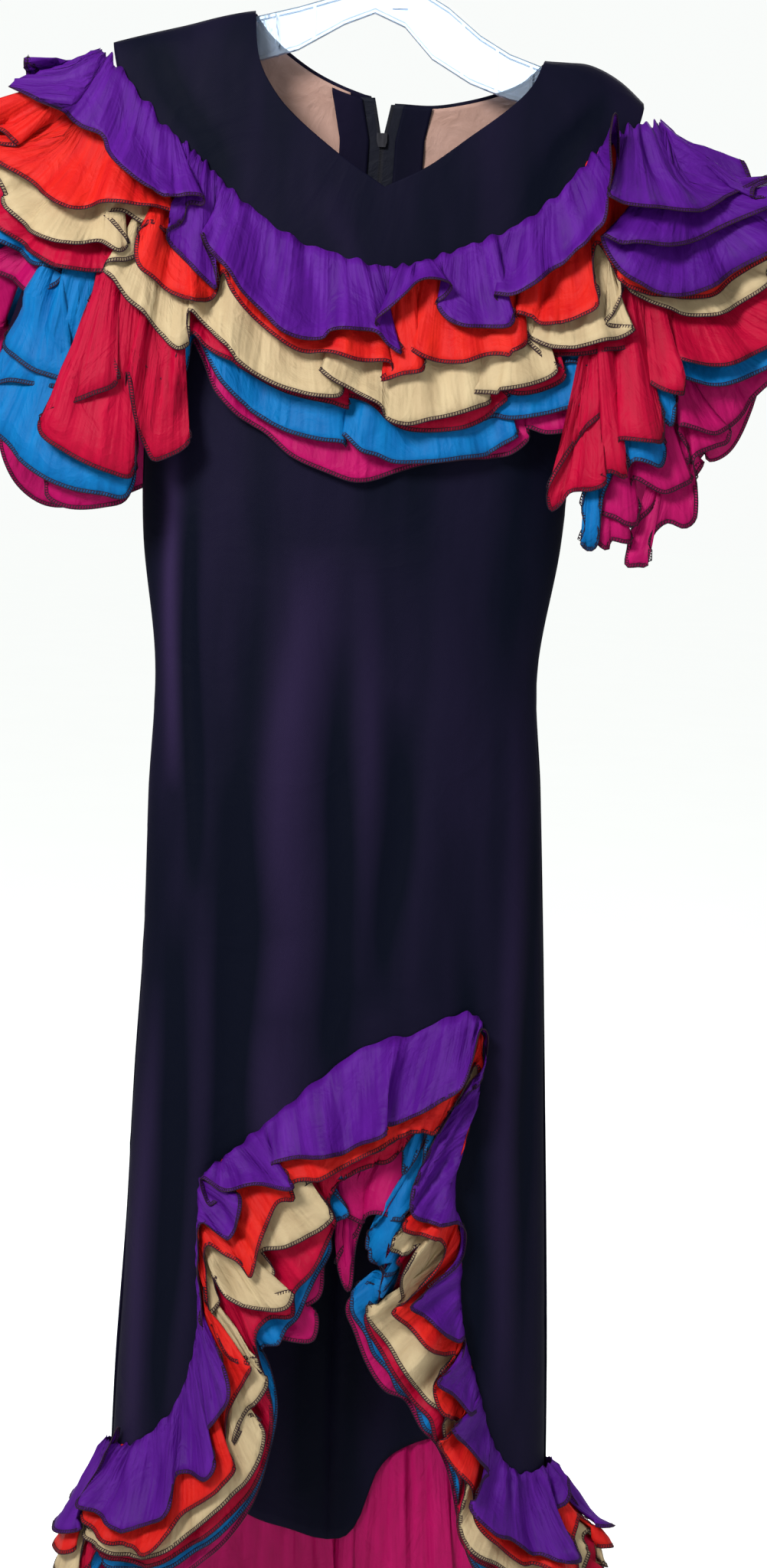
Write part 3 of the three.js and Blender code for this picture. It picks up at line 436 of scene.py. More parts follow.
@dataclass(frozen=True)
class StackForm:
    """The surface that six ruffles are sewn on: once round (share) and down the stack (down)."""

    rows: Array
    seat: float
    front_end: float
    lowered: Array | None = None
    inner: Array | None = None
    body_share: float = 0.42
    sleeve_share: float = 0.28
    keep: float = 12000.0
    near: float = 90.0
    flare_cost: float = 0.3
    probes: tuple[int, int] = (900, 150)
    reach: Pair = (-0.12, 1.3)
    step: Pair = (0.012, 0.05)
    apart: float = 0.03
    flares: tuple[float, ...] = (0.0, 12.0, 24.0, 38.0, 52.0, 66.0)

    def point(self, share: Array, down: Array) -> Array:
        """From the seam's row to the lowest edge's, and never inside the sheath's own face.

        Args:
            share: how far once round.
            down: how far down the stack.

        Returns:
            Points, x y z last.
        """
        at = round_at(self.rows, share)
        x = mix(at[..., 0], at[..., 3], down)
        z = mix(at[..., 1], at[..., 4], down)
        y = mix(at[..., 2], at[..., 5], down)
        least = FORM.face(x, z) + self.seat
        stand = np.where(np.abs(y) > 1, np.maximum(np.abs(y), least), np.abs(y))
        return np.stack([x, np.sign(y) * stand, z], axis=-1)

    def out(self, share: Array, down: Array) -> Array:
        """The way out of the surface: its fall crossed with its way round.

        Args:
            share: how far once round.
            down: how far down the stack.

        Returns:
            Unit vectors.
        """
        step, drop = self.step
        along = self.point(share + step, down) - self.point(share - step, down)
        fall = self.point(share, down + drop) - self.point(share, down - drop)
        return unit(np.cross(fall, along))

    def covered(self, share: Array) -> Array:
        """The share of the stack that one tier covers: less where it hangs over an arm."""
        arm = np.clip(round_at(self.rows[:, 6:7], share)[..., 0], 0, 1)
        return mix(self.body_share, self.sleeve_share, arm)

    def top(self, tier: Tier, share: Array) -> Array:
        """Where down the stack a tier is sewn on.

        Args:
            tier: the tier.
            share: how far once round.

        Returns:
            Places down the stack.
        """
        top = tier.value * (1 - self.covered(share)) / (len(Tier) - 1)
        if tier is Tier.MAGENTA and self.inner is not None:
            return round_at(self.inner, share)[..., 0]
        if self.lowered is not None:
            low = round_at(self.lowered, share)[..., 0]
            return np.maximum(top, low + self.apart * tier.value) + np.minimum(low, 0)
        return top

    def found(self, seen: Array, lift: Array) -> Array:
        """Share, down and flare of the places that show at given points of the view.

        Args:
            seen: across and down in the view's frame, one row for each place.
            lift: how far each stands off the surface.

        Returns:
            For each, the share and down of the nearest point of a fine grid over the front. Where
            the surface is seen twice at one spot, the place beside the one before it is taken.
            Where it is seen nowhere near, the cloth flares out: the least flare that reaches.
        """
        share, down = np.meshgrid(
            np.linspace(0, self.front_end, self.probes[0]), np.linspace(*self.reach, self.probes[1]),
            indexing="ij")
        base, out = self.point(share, down), self.out(share, down)
        found: list[Triple] = []
        for spot, stand in zip(seen, lift):
            best = (math.inf, 0, 0.0)
            for flare in self.flares:
                off = ((VIEW.seen(base + out * (stand + flare)) - spot) ** 2).sum(axis=-1)
                off = off + (self.flare_cost * flare) ** 2
                if found:
                    off = off + self.keep * (share - found[-1][0]) ** 2
                nearest = int(np.argmin(off))
                best = min(best, (float(off.flat[nearest]), nearest, flare))
                if off.flat[nearest] < self.near:
                    break
            found.append((share.flat[best[1]], down.flat[best[1]], best[2] and best[2] + stand))
        return np.array(found)


# at half rows round the hem: how far the top tier's gathers slip down over the arch
HEM_LOWERED = table("""
    0 0 0 0 0 0 0 0 0 0 0 0 0.02 0 0.08 0.15 0.18 0.17 0.12 0.05 0.05 0 0 0.02 0.06 0.13 0.17 0.15 0.04 0
    0.04 0.07 0.05 0 0 0 0 0 0 0 0 0 0 -0.05 -0.14 -0.25 -0.35 -0.23 -0.08 -0.06 -0.05 -0.04 -0.04 -0.03 0
    0
""")
# at the rows: where down the stack the innermost tier is sewn on; at the back it hangs from
# just above the panel's own edge
HEM_INNER = table("""
    0.35 0.46 0.58 0.58 0.58 0.58 0.58 0.58 0.58 0.58 0.58 0.58 0.58 0.58 0.58 0.58 0.58 0.58 0.5 0.38 0.2
    0.04 -0.15 -0.36 -0.04 0 0 0.12
""")

BERTHA = StackForm(BERTHA_ROWS, 0.85, 16 / 28)
HEM = StackForm(HEM_ROWS, 1.25, 20 / 28, HEM_LOWERED, HEM_INNER)

# free edge of each tier across the front, left to right in the view: across, down, lift.
# a run that turns back on itself is a fold: the part with more lift lies on top.
BERTHA_EDGES = {
    Tier.PURPLE: table("""
    38,109,2 29,72,10 43,88,16 70,133,15 99,164,14 129,172,13 137,194,13 166,226,14 199,250,16
    232,255,18 264,255,18 262,266,12 245,268,4 240,288,1 217,306,1 232,332,2 259,358,3 282,377,5
    278,350,6 266,320,8 260,304,14 268,322,18 284,340,18 299,353,18 318,381,18 345,411,18 368,434,17
    398,443,16 424,443,15 432,432,13 464,431,14 491,434,14 507,452,10 525,462,6 520,450,4 500,432,8
    490,420,15 510,402,18 530,383,20 551,365,22 573,364,22 592,373,18 582,387,8 571,397,4 581,414,8
    603,427,13 631,429,12 664,426,7 670,410,3 654,396,6 646,384,14 667,385,17 693,373,18 726,350,18
    762,321,20 777,306,22 790,290,24 796,250,28 802,200,32 803,158,34 808,140,30 814,176,16 812,214,10
    800,240,22 794,255,32 813,261,34 840,266,34 879,267,34 920,273,33 948,259,31 978,240,28 984,256,22
    981,276,20 959,292,21 929,305,23 879,320,24 840,320,24 806,315,22 785,309,16 790,327,10 811,360,11
    834,374,12 873,387,13 897,388,13 936,373,12 962,344,10 980,300,8 994,262,7"""),
    Tier.ORANGE: table("""
    -44,132,8 -20,150,10 0,164,12 17,186,13 31,222,13 54,250,13 90,272,13 133,267,12 176,269,14
    208,270,15 232,277,14 235,288,9 219,302,6 200,294,4 184,300,2 176,330,3 182,350,7 200,366,9
    229,385,9 259,396,8 280,386,5 286,360,4 291,356,10 300,375,12 325,411,12 358,438,12 395,461,12
    428,461,11 464,471,12 508,474,13 513,484,8 498,497,8 524,491,9 553,483,9 553,473,6 538,464,4
    534,455,8 550,466,11 570,471,12 606,473,12 640,465,12 676,461,9 690,446,4 680,424,4 674,409,10
    692,414,12 706,423,12 733,425,12 763,413,12 781,400,12 776,366,13 775,333,14 782,318,10 800,344,8
    812,372,5 848,384,4 892,392,4 936,382,4 976,340,4 1002,290,4 1016,250,4"""),
    Tier.CREAM: table("""
    -44,180,8 -18,214,9 0,244,10 10,265,10 31,290,10 61,313,10 96,322,11 127,315,12 156,328,14
    166,318,14 146,291,12 134,276,9 158,275,11 181,288,14 206,299,15 209,304,12 187,328,10 166,340,9
    140,343,6 137,354,4 145,366,8 166,391,9 187,410,9 209,436,8 232,459,7 246,450,3 244,424,3 247,405,8
    265,423,11 289,449,12 315,476,12 345,496,12 381,511,12 415,517,11 446,518,9 448,500,8 416,482,14
    432,496,16 464,512,16 496,531,15 503,546,12 530,555,12 563,550,12 597,543,11 623,534,9 642,526,6
    630,518,6 619,514,12 636,513,14 666,509,14 706,500,13 729,484,12 714,470,9 693,451,9 680,434,10
    673,426,11 682,430,12 694,441,12 720,455,12 746,457,12 780,450,12 813,441,11 829,430,10 812,427,8
    791,423,10 804,408,12 814,383,12 814,364,8 826,380,6 848,392,8 873,400,9 897,410,10 925,413,10
    960,402,10 988,378,9 1012,330,8"""),
    Tier.CRIMSON: table("""
    -44,236,6 -16,268,7 4,290,7 22,308,7 44,332,7 76,348,8 109,354,9 137,356,8 140,372,3 118,392,2
    124,420,6 153,498,14 118,518,14 74,532,14 50,546,12 54,564,14 84,590,15 117,606,15 146,618,13
    172,622,10 174,590,4 164,530,4 166,486,8 176,546,10 190,582,10 201,600,10 224,592,10 248,574,9
    238,546,5 226,506,2 232,470,1 246,440,3 252,436,6 268,452,7 290,466,8 318,484,8 348,502,8 392,519,8
    432,528,8 456,533,7 452,520,3 476,524,7 491,533,7 506,550,7 530,561,7 580,563,7 614,557,7 646,538,6
    664,520,4 654,510,3 676,516,5 708,510,5 740,492,5 722,470,3 700,452,4 716,460,6 744,464,7 782,459,7
    818,452,6 834,446,3 820,500,2 797,530,4 762,562,9 736,600,12 714,644,14 720,666,9 732,658,8
    745,640,13 770,641,14 792,632,12 787,621,8 796,617,8 817,626,7 815,602,4 806,577,9 817,575,13
    847,580,15 863,580,12 865,548,6 848,500,8 857,504,12 874,514,13 893,514,10 880,487,5 879,471,8
    900,474,12 930,480,13 963,476,13 1002,451,12 1030,410,10 1036,360,8"""),
    Tier.BLUE: table("""
    -50,300,6 -24,312,7 0,318,7 20,328,7 40,346,7 60,348,7 77,358,6 52,382,2 16,412,4 -12,440,8
    8,462,12 34,480,14 66,489,13 97,500,11 66,505,9 34,500,8 -8,494,7 -50,506,6 -40,534,7 0,574,9
    20,600,10 54,623,11 93,639,11 133,646,10 166,649,8 176,616,4 158,560,2 150,470,1 140,390,4
    146,394,6 172,459,7 199,483,7 230,503,7 244,480,2 250,446,2 256,438,6 275,472,8 290,500,8 315,526,9
    345,550,9 381,566,9 418,575,9 448,578,8 452,586,4 446,566,8 452,572,13 470,590,13 492,596,12
    513,604,12 553,606,12 597,601,11 640,591,9 676,568,7 660,558,4 634,552,5 643,546,8 667,546,9
    713,541,9 756,527,8 774,516,6 748,502,3 730,486,3 736,474,7 767,477,8 794,487,8 814,494,6 818,540,2
    790,590,2 764,640,7 759,664,9 764,686,8 757,708,9 768,717,9 780,714,6 783,690,3 788,650,2 800,620,2
    806,598,6 809,586,9 820,612,9 828,603,12 847,603,14 864,609,12 872,588,6 861,553,8 867,550,12
    880,558,11 884,530,5 882,500,6 890,493,11 912,496,13 937,501,13 962,500,13 1004,481,12 1036,446,10
    1044,400,8"""),
    Tier.MAGENTA: table("""
    -56,350,5 -26,352,6 0,360,8 28,379,9 51,399,9 46,420,6 58,432,8 72,442,8 70,410,8 78,376,10
    106,412,10 122,362,6 150,420,2 146,500,2 90,560,2 30,596,3 52,626,6 54,648,9 77,658,9 133,662,9
    166,650,7 178,600,2 168,520,1 160,446,3 167,458,6 187,493,7 222,533,8 229,500,10 247,438,8
    262,462,9 282,508,6 312,540,6 345,566,6 381,596,6 428,619,7 458,628,7 484,629,7 520,617,6 560,606,4
    604,602,3 640,598,4 664,592,5 690,570,3 684,557,5 713,564,7 746,561,7 774,547,7 790,531,6 770,510,3
    742,490,3 736,482,5 763,484,7 787,494,7 813,509,6 824,548,2 800,610,2 774,684,4 771,694,8
    782,710,11 796,716,12 800,704,9 814,706,12 830,708,12 822,698,9 806,688,10 790,676,10 782,668,12
    803,673,14 820,683,14 837,686,12 839,662,8 828,631,9 832,625,13 848,631,15 874,641,15 895,637,14
    911,623,11 893,616,8 878,609,8 891,606,11 905,605,10 906,586,7 892,561,9 893,553,12 914,557,14
    944,563,14 967,556,12 961,572,8 940,581,6 914,593,5 917,630,5 919,660,6 915,678,7 902,687,8
    878,683,6 860,696,5 852,716,5 851,737,6 836,739,6 821,737,6 822,714,4 828,690,2 880,632,1 915,590,1
    950,562,2 990,530,3 1034,470,5"""),
}
HEM_EDGES = {
    Tier.PURPLE: table("""
    140,1868,8 128,1900,10 107,1946,14 110,1962,14 134,1976,14 165,1995,15 202,1986,15 228,1966,14
    232,1926,10 246,1924,9 271,1926,13 286,1903,13 276,1880,7 268,1872,6 290,1844,12 305,1816,13
    290,1770,8 266,1740,6 262,1700,4 258,1650,6 262,1598,8 300,1619,12 317,1574,13 310,1556,8
    270,1578,3 257,1543,12 286,1556,16 334,1550,16 386,1546,15 372,1528,9 353,1521,14 400,1509,10
    426,1507,22 450,1503,10 474,1492,20 490,1485,26 504,1474,25 498,1463,12 508,1466,6 524,1463,12
    548,1453,21 569,1442,16 600,1421,20 619,1388,20 632,1348,18 642,1366,8 632,1412,3 592,1448,3
    568,1488,4 553,1518,5 543,1542,7 536,1562,8 536,1582,9 554,1593,9 584,1599,9 603,1604,8 613,1616,6
    606,1652,4 556,1684,7 534,1702,10 566,1728,11 600,1756,11 610,1752,6 604,1780,7 568,1800,11
    592,1822,12 616,1850,12 628,1850,6 588,1858,11 592,1870,12 620,1900,12 642,1930,9 630,1932,8
    610,1962,14 636,1992,16 664,2006,17 706,2028,17 748,2033,17 742,2006,12 728,1980,8 746,1968,10
    756,1930,9"""),
    Tier.ORANGE: table("""
    120,1960,8 108,1968,11 110,1984,12 133,2002,12 170,2016,12 196,2024,12 226,1998,11 240,1976,9
    290,1938,10 310,1912,9 296,1890,4 300,1846,5 322,1800,9 330,1778,8 300,1770,4 280,1740,3 272,1700,3
    266,1650,6 268,1628,10 290,1642,12 312,1650,12 328,1666,11 338,1634,12 350,1600,12 366,1570,11
    386,1562,8 382,1544,6 420,1536,7 470,1510,7 520,1484,7 566,1484,8 600,1430,9 622,1392,9 624,1420,4
    600,1490,2 568,1560,3 526,1592,7 524,1600,10 544,1611,12 566,1617,12 584,1634,12 581,1650,12
    566,1668,11 548,1682,10 526,1700,7 514,1706,5 512,1712,9 548,1748,11 582,1774,11 600,1777,9
    566,1806,8 572,1836,8 588,1850,9 600,1862,7 572,1880,5 584,1906,8 612,1938,8 618,1984,10
    648,2016,12 700,2042,13 750,2052,12 752,2024,8 760,1980,8"""),
    Tier.CREAM: table("""
    118,1984,7 102,1990,10 110,2006,11 140,2022,11 176,2036,11 212,2026,11 260,1994,10 300,1956,11
    322,1936,11 342,1900,11 346,1868,9 330,1850,7 306,1884,5 318,1850,8 342,1824,11 350,1806,11
    340,1784,8 336,1768,7 310,1776,9 284,1756,10 271,1726,9 284,1706,5 278,1690,8 276,1672,14
    296,1698,16 336,1710,16 378,1702,14 384,1686,10 342,1690,8 360,1660,9 343,1634,14 376,1628,14
    400,1618,13 436,1590,11 420,1566,7 396,1552,7 430,1532,9 480,1508,9 520,1486,8 548,1462,4
    594,1440,2 612,1450,1 602,1510,1 580,1562,2 544,1592,4 514,1609,8 509,1627,10 532,1635,10
    546,1627,6 536,1641,8 525,1660,11 522,1680,11 524,1699,9 506,1706,4 480,1704,5 478,1716,9
    500,1750,11 522,1782,11 556,1828,11 586,1845,9 576,1856,4 580,1880,5 594,1912,7 606,1934,6
    600,1980,6 608,2016,10 650,2046,11 700,2064,11 752,2068,10 760,2040,7 766,2000,6"""),
    Tier.CRIMSON: table("""
    128,2010,5 118,2020,7 150,2038,7 190,2048,7 236,2030,7 290,1990,6 330,1950,5 350,1900,4 356,1850,4
    350,1810,4 340,1780,5 336,1740,7 350,1726,9 384,1716,9 386,1690,8 410,1660,8 428,1626,8 440,1598,6
    430,1570,3 440,1550,3 480,1524,4 510,1520,4 546,1476,2 590,1456,1 604,1490,1 590,1550,1 556,1604,2
    516,1642,4 522,1652,5 512,1690,6 500,1712,6 488,1704,4 476,1720,5 484,1748,6 508,1786,6 540,1834,6
    560,1852,5 568,1880,4 584,1906,6 600,1932,5 606,2020,6 650,2056,7 704,2078,7 756,2080,6 770,2040,5"""),
    Tier.BLUE: table("""
    134,2030,5 130,2042,7 160,2056,8 204,2056,8 250,2034,8 290,2006,8 330,1960,5 352,1900,3 360,1840,3
    350,1790,5 342,1764,8 362,1760,9 374,1740,8 390,1722,8 400,1696,7 416,1666,8 432,1640,8 434,1606,5
    456,1588,8 444,1568,8 420,1548,9 452,1540,10 486,1526,10 498,1500,8 520,1484,8 526,1536,10
    548,1510,10 560,1470,9 556,1500,7 540,1570,8 522,1592,8 490,1606,4 470,1620,5 484,1648,8 522,1664,9
    528,1652,7 500,1680,3 452,1686,5 458,1702,6 474,1744,7 488,1776,7 508,1796,7 520,1822,8 540,1836,7
    556,1870,6 572,1880,7 590,1924,5 606,1990,4 618,2044,6 660,2074,7 712,2092,7 760,2090,6 776,2050,5"""),
    Tier.MAGENTA: table("""
    140,2044,5 136,2060,6 170,2076,7 214,2074,7 256,2050,7 296,2014,6 332,1960,4 352,1890,3 350,1810,3
    330,1756,6 326,1740,8 364,1756,10 408,1758,10 412,1718,8 380,1722,6 418,1700,8 424,1656,7
    430,1610,4 426,1580,3 420,1556,6 452,1594,9 476,1604,10 484,1580,6 492,1590,9 516,1594,10
    522,1560,7 512,1500,7 500,1560,2 470,1610,3 440,1660,5 470,1676,6 500,1676,6 480,1690,3 452,1700,3
    460,1740,4 480,1790,5 504,1824,6 530,1836,6 552,1872,6 572,1894,6 590,1936,4 606,2010,4 626,2060,5
    668,2090,6 720,2106,6 766,2100,5 780,2060,4"""),
}
# folds of the sides and back that the front view hides: share of the way through that stretch,
# half width (the same share), drop, lift, and which way it laps over
BERTHA_BACK_FOLDS = table("""
    0.05,0.05,0.05,14,1 0.158,0.058,0.02,18,-1 0.262,0.046,0.04,11,1 0.362,0.054,0,16,1
    0.461,0.045,0.03,12,-1 0.563,0.057,0.01,17,-1 0.668,0.048,0.04,12,1 0.768,0.052,0.02,15,-1
    0.866,0.046,0.05,12,1 0.957,0.043,0.03,15,-1
""")
HEM_BACK_FOLDS = table("""
    0.07,0.07,0.04,14,-1 0.214,0.074,0.02,18,1 0.352,0.064,0.05,12,1 0.492,0.076,0.01,17,-1
    0.63,0.062,0.04,13,1 0.768,0.076,0.02,18,-1 0.918,0.074,0.04,14,1
""")
# one lapped fold, from valley to valley: place (-1 to 1), share of its drop, share of its lift
LAPPED_FOLD = table("""
    -1,0,0.08 -0.62,0.5,0.45 -0.1,1,0.9 0.45,0.9,1 0.92,0.1,0.92 0.98,-0.4,0.6 0.66,-0.6,0.22
""")

# waves along a tier: times round, amount and shift, for the fine gathers, the broad swells, how
# uneven the gathers are and how the seam wavers
FINE = table("83,1,1 118,0.8,2 59,0.6,3")
BROAD = table("37,1,1 53,0.7,-1")
UNEVEN = table("7,0.3,1 17,0.3,2")
WAVER = table("71,1,1 107,1,0")


@dataclass
class Ruffle:
    """One tier's surface: points and cloth places on a grid from its seam down to its edge."""

    points: Array
    cloth: Array

    def edge_length(self) -> float:
        """Length of the free edge once round, in metres."""
        return float(round_lengths(self.points[-1])[-1]) * METRES

    def area(self) -> float:
        """Area of one face, in square metres."""
        nxt = np.roll(self.points, -1, axis=1)
        a, b = self.points[1:] - self.points[:-1], nxt[:-1] - self.points[:-1]
        c, d = nxt[:-1] - nxt[1:], self.points[1:] - nxt[1:]
        quads = np.linalg.norm(np.cross(a, b), axis=-1) + np.linalg.norm(np.cross(c, d), axis=-1)
        return float(quads.sum() / 2) * METRES**2


@dataclass
class RuffleStack:
    """Six gathered tiers laid over one another, from the innermost out."""

    form: StackForm
    edges: dict[Tier, Array]
    back_folds: Array
    columns: int = 860
    rows: int = 9
    per_span: int = 24
    gather: float = 0.02
    clearance: float = 1.5
    seam_stand: float = 1.0
    guess: float = 16.0
    ripple: float = 2.3
    ripple_base: float = 0.7
    ripple_fade: float = 3.2
    ripple_rise: float = 14.0
    wave: float = 3.0
    puff: float = 3.0
    puff_end: float = 1.6
    lift_power: float = 1.7
    flare_power: float = 1.3
    reach: int = 2
    brim: int = 5
    brim_blend: int = 3
    turns: Triple = (0.03, 0.12, 0.25)
    ends: Pair = (0.004, 0.996)
    settled: float = 0.97
    waver: float = 0.006
    tuck: float = 0.07
    step: float = 0.012
    bins: int = 300
    splits: int = 5
    back_lift: float = 0.8
    hitch: Pair = (0.36, 0.24)
    fade: Pair = (0.055, 0.03)
    cells: tuple[int, int] = (900, 196)
    least_down: float = -0.40
    most_down: float = 1.4

    def knots(self, tier: Tier) -> Array:
        """The points that a tier's edge runs through, once round.

        Args:
            tier: the tier.

        Returns:
            Rows of share, down, lift and flare: the front's from the table, then lapped folds
            round the back, whose lift and place vary from tier to tier.
        """
        shown = self.edges[tier]
        places = self.form.found(shown[:, :2], shown[:, 2] + self.guess)
        front = np.column_stack([places[:, :2], shown[:, 2], places[:, 2]])
        start, end = front[-1, 0], front[0, 0] + 1.0
        hidden = []
        less, vary, sway = self.turns
        for centre, half, drop, lift, lap in self.back_folds:
            scale = 1.0 - less * tier.value + vary * math.sin(9 * centre + 2.3 * tier.value)
            shift = sway * math.sin(5 * centre + 1.53 * tier.value)
            for place, fall, rise in LAPPED_FOLD if lap > 0 else LAPPED_FOLD[::-1]:
                along = centre + half * (place * lap + shift)
                share = float(mix(start, end, np.clip(along, *self.ends)))
                near = np.exp([(start - share) / self.fade[0], (share - end) / self.fade[1]])
                covered = float(self.form.covered(share))
                low = tier.value * (1 - covered) / (len(Tier) - 1) + covered
                low *= 1 - max(self.hitch * near)
                flare = front[-1, 3] * near[0] + front[0, 3] * near[1]
                hidden.append((share, low + drop * fall, lift * rise * scale * self.back_lift, flare))
        return np.vstack([front, hidden])

    def placed(self, knots: Array) -> Array:
        """Points of knots, each off the form by its lift or its flare, whichever is more."""
        share, down, off = knots[:, 0], knots[:, 1], knots[:, 2:].max(axis=1)
        return self.form.point(share, down) + self.form.out(share, down) * off[:, None]

    def edge(self, tier: Tier) -> Array:
        """The free edge of a tier, a smooth closed curve.

        Each span is a cubic whose slopes weigh the chords beside it by the square roots of their
        lengths, so folds stay round and don't overshoot.

        Args:
            tier: the tier.

        Returns:
            Share, down, lift and flare at evenly spaced points.
        """
        knots = self.knots(tier)
        world = self.placed(knots)
        nxt = np.roll(knots, -1, axis=0)
        nxt[-1, 0] += 1.0
        chord = np.sqrt(np.linalg.norm(np.roll(world, -1, axis=0) - world, axis=1) + 0.5)[:, None]
        step = (nxt - knots) / chord
        last, width = np.roll(step, 1, axis=0), np.roll(chord, 1)
        slope = (last * chord + step * width) / (chord + width)
        after = np.roll(slope, -1, axis=0)
        t = np.linspace(0, 1, self.per_span, endpoint=False)[None, :, None]
        dense = hermite(knots[:, None], nxt[:, None], (chord * slope)[:, None],
                        (chord * after)[:, None], t).reshape(-1, 4)
        place = round_lengths(self.placed(dense))
        closed = np.vstack([dense, dense[0] + [1.0, 0.0, 0.0, 0.0]])
        return read_along(closed, place, np.linspace(0, place[-1], self.columns, endpoint=False))

    def starts(self, edges: dict[Tier, Array]) -> dict[Tier, Array]:
        """Where down the stack each tier is sewn on, at each of a ring of bins.

        Args:
            edges: the free edge of each tier.

        Returns:
            The form's own height for the tier, but above the edge of the tier over it wherever
            that one is folded up, so that no stretch of the stack is left bare.
        """
        share = (np.arange(self.bins) + 0.5) / self.bins
        made = {Tier.PURPLE: self.form.top(Tier.PURPLE, share)}
        for tier in list(Tier)[1:]:
            above = edges[Tier(tier.value - 1)]
            highest = np.full(self.bins, 2.0)
            np.minimum.at(highest, (above[:, 0] % 1 * self.bins).astype(int), above[:, 1])
            highest = np.min([np.roll(highest, step) for step in range(-self.brim, self.brim + 1)], axis=0)
            blend = range(-self.brim_blend, self.brim_blend + 1)
            highest = np.mean([np.roll(highest, step) for step in blend], axis=0)
            own = np.minimum(self.form.top(tier, share), highest - self.tuck)
            own = np.maximum(own, made[Tier(tier.value - 1)] + self.step)
            behind = (share > self.form.front_end) & (tier is Tier.MAGENTA)
            made[tier] = np.where(behind, self.form.top(tier, share), own)
        return made

    def gathered(self, share: Array) -> Array:
        """The seam's share for each place of the edge: the edge's, averaged along the cloth.

        Args:
            share: the edge's places.

        Returns:
            Places of the seam, never turning back.
        """
        reach = max(int(self.gather * len(share)), 1)
        steady = share - np.arange(len(share)) / len(share)
        for _ in range(3):
            ring = np.concatenate([steady[-reach:], steady, steady[:reach]])
            total = np.concatenate([[0.0], np.cumsum(ring)])
            steady = (total[2 * reach + 1:] - total[:-2 * reach - 1]) / (2 * reach + 1)
        seam = steady + np.arange(len(share)) / len(share)
        return np.maximum.accumulate(seam)

    def cell(self, share: Array, down: Array) -> tuple[Array, Array]:
        """The cell of the height map that holds each place."""
        i = (share % 1.0 * self.cells[0]).astype(int) % self.cells[0]
        j = (down - self.least_down) / (self.most_down - self.least_down) * self.cells[1]
        return i, np.clip(j.astype(int), 0, self.cells[1] - 1)

    def raised(self, heights: Array, share: Array, down: Array) -> Array:
        """The height map read smoothly between its cells.

        Args:
            heights: the map.
            share: how far once round.
            down: how far down the stack.

        Returns:
            Heights.
        """
        u = share % 1.0 * self.cells[0] - 0.5
        v = (down - self.least_down) / (self.most_down - self.least_down) * self.cells[1] - 0.5
        v = np.clip(v, 0, self.cells[1] - 1.001)
        i, j = np.floor(u).astype(int), np.floor(v).astype(int)
        s, t = u - i, v - j
        n = self.cells[0]
        low = mix(heights[i % n, j], heights[(i + 1) % n, j], s)
        high = mix(heights[i % n, j + 1], heights[(i + 1) % n, j + 1], s)
        return mix(low, high, t)

    @staticmethod
    def spread(heights: Array, reach: int) -> Array:
        """Each cell takes the highest of its neighbours within reach."""
        out = heights.copy()
        for step in range(1, reach + 1):
            for axis in (0, 1):
                out = np.maximum(out, np.roll(heights, step, axis=axis))
                out = np.maximum(out, np.roll(heights, -step, axis=axis))
        return out

    @staticmethod
    def softened(heights: Array, reach: int) -> Array:
        """Heights averaged over their neighbours, three times, but never lowered."""
        out = heights
        for _ in range(3):
            for axis in (0, 1):
                total = sum(np.roll(out, step, axis=axis) for step in range(-reach, reach + 1))
                out = total / (2 * reach + 1)
        return np.maximum(out, heights)

    def tiers(self) -> dict[Tier, Ruffle]:
        """All six surfaces, each laid over the height map of those inside it.

        Down a tier, down = seam + (edge - seam) v and share = seam share + (edge - seam) v,
        and the stand off the form is the map below + clearance + lift v^lift_power + gathers.

        Returns:
            The surface of each tier.
        """
        heights = np.zeros(self.cells)
        made = {}
        v = np.linspace(0, 1, self.rows + 1)[:, None]
        along = np.arange(self.columns) / self.columns * TURN
        ring = (np.arange(self.bins) + 0.5) / self.bins
        edges = {tier: self.edge(tier) for tier in Tier}
        starts = self.starts(edges)
        for tier in reversed(Tier):
            edge, phase = edges[tier], 1.7 * tier.value
            seam = self.gathered(edge[:, 0])
            start = np.interp(seam % 1, ring, starts[tier], period=1.0)
            start = start + self.waver * waves(along, tier.value, WAVER)
            share, down = mix(seam, edge[:, 0], v), mix(start, edge[:, 1], v)
            uneven = self.ripple_base + waves(along, phase, UNEVEN)
            gathers = self.ripple * uneven * waves(along, phase, FINE)
            gathers = gathers * np.exp(-self.ripple_fade * v) * np.minimum(v * self.ripple_rise, 1)
            swells = self.wave * waves(along, phase, BROAD)
            swells = swells * np.sin(math.pi * np.minimum(v * 0.8 + 0.1, 1))
            under = self.raised(heights, share, down)
            puff = self.puff * np.sin(math.pi * np.minimum(v * self.puff_end, 1)) * (1 - v)
            lift = edge[:, 2] * v**self.lift_power + puff
            stand_off = under + self.clearance + np.maximum(lift + gathers + swells, 0.0)
            flare = edge[:, 3] * v**self.flare_power
            stand_off = np.maximum(stand_off, flare + gathers + swells)
            stand_off[0] = under[0] + self.seam_stand
            points = self.form.point(share, down) + self.form.out(share, down) * stand_off[..., None]
            made[tier] = self.laid(points)
            patch = np.zeros(self.cells)
            for split in np.linspace(0, 1, self.splits, endpoint=False):
                part = [mix(rows[:-1], rows[1:], split) for rows in (share, down, stand_off)]
                np.maximum.at(patch, self.cell(*part[:2]), part[2])
            np.maximum.at(patch, self.cell(share, down), stand_off)
            patch = self.softened(self.spread(patch, self.reach), self.reach)
            heights = np.maximum(heights, patch * self.settled)
        return made

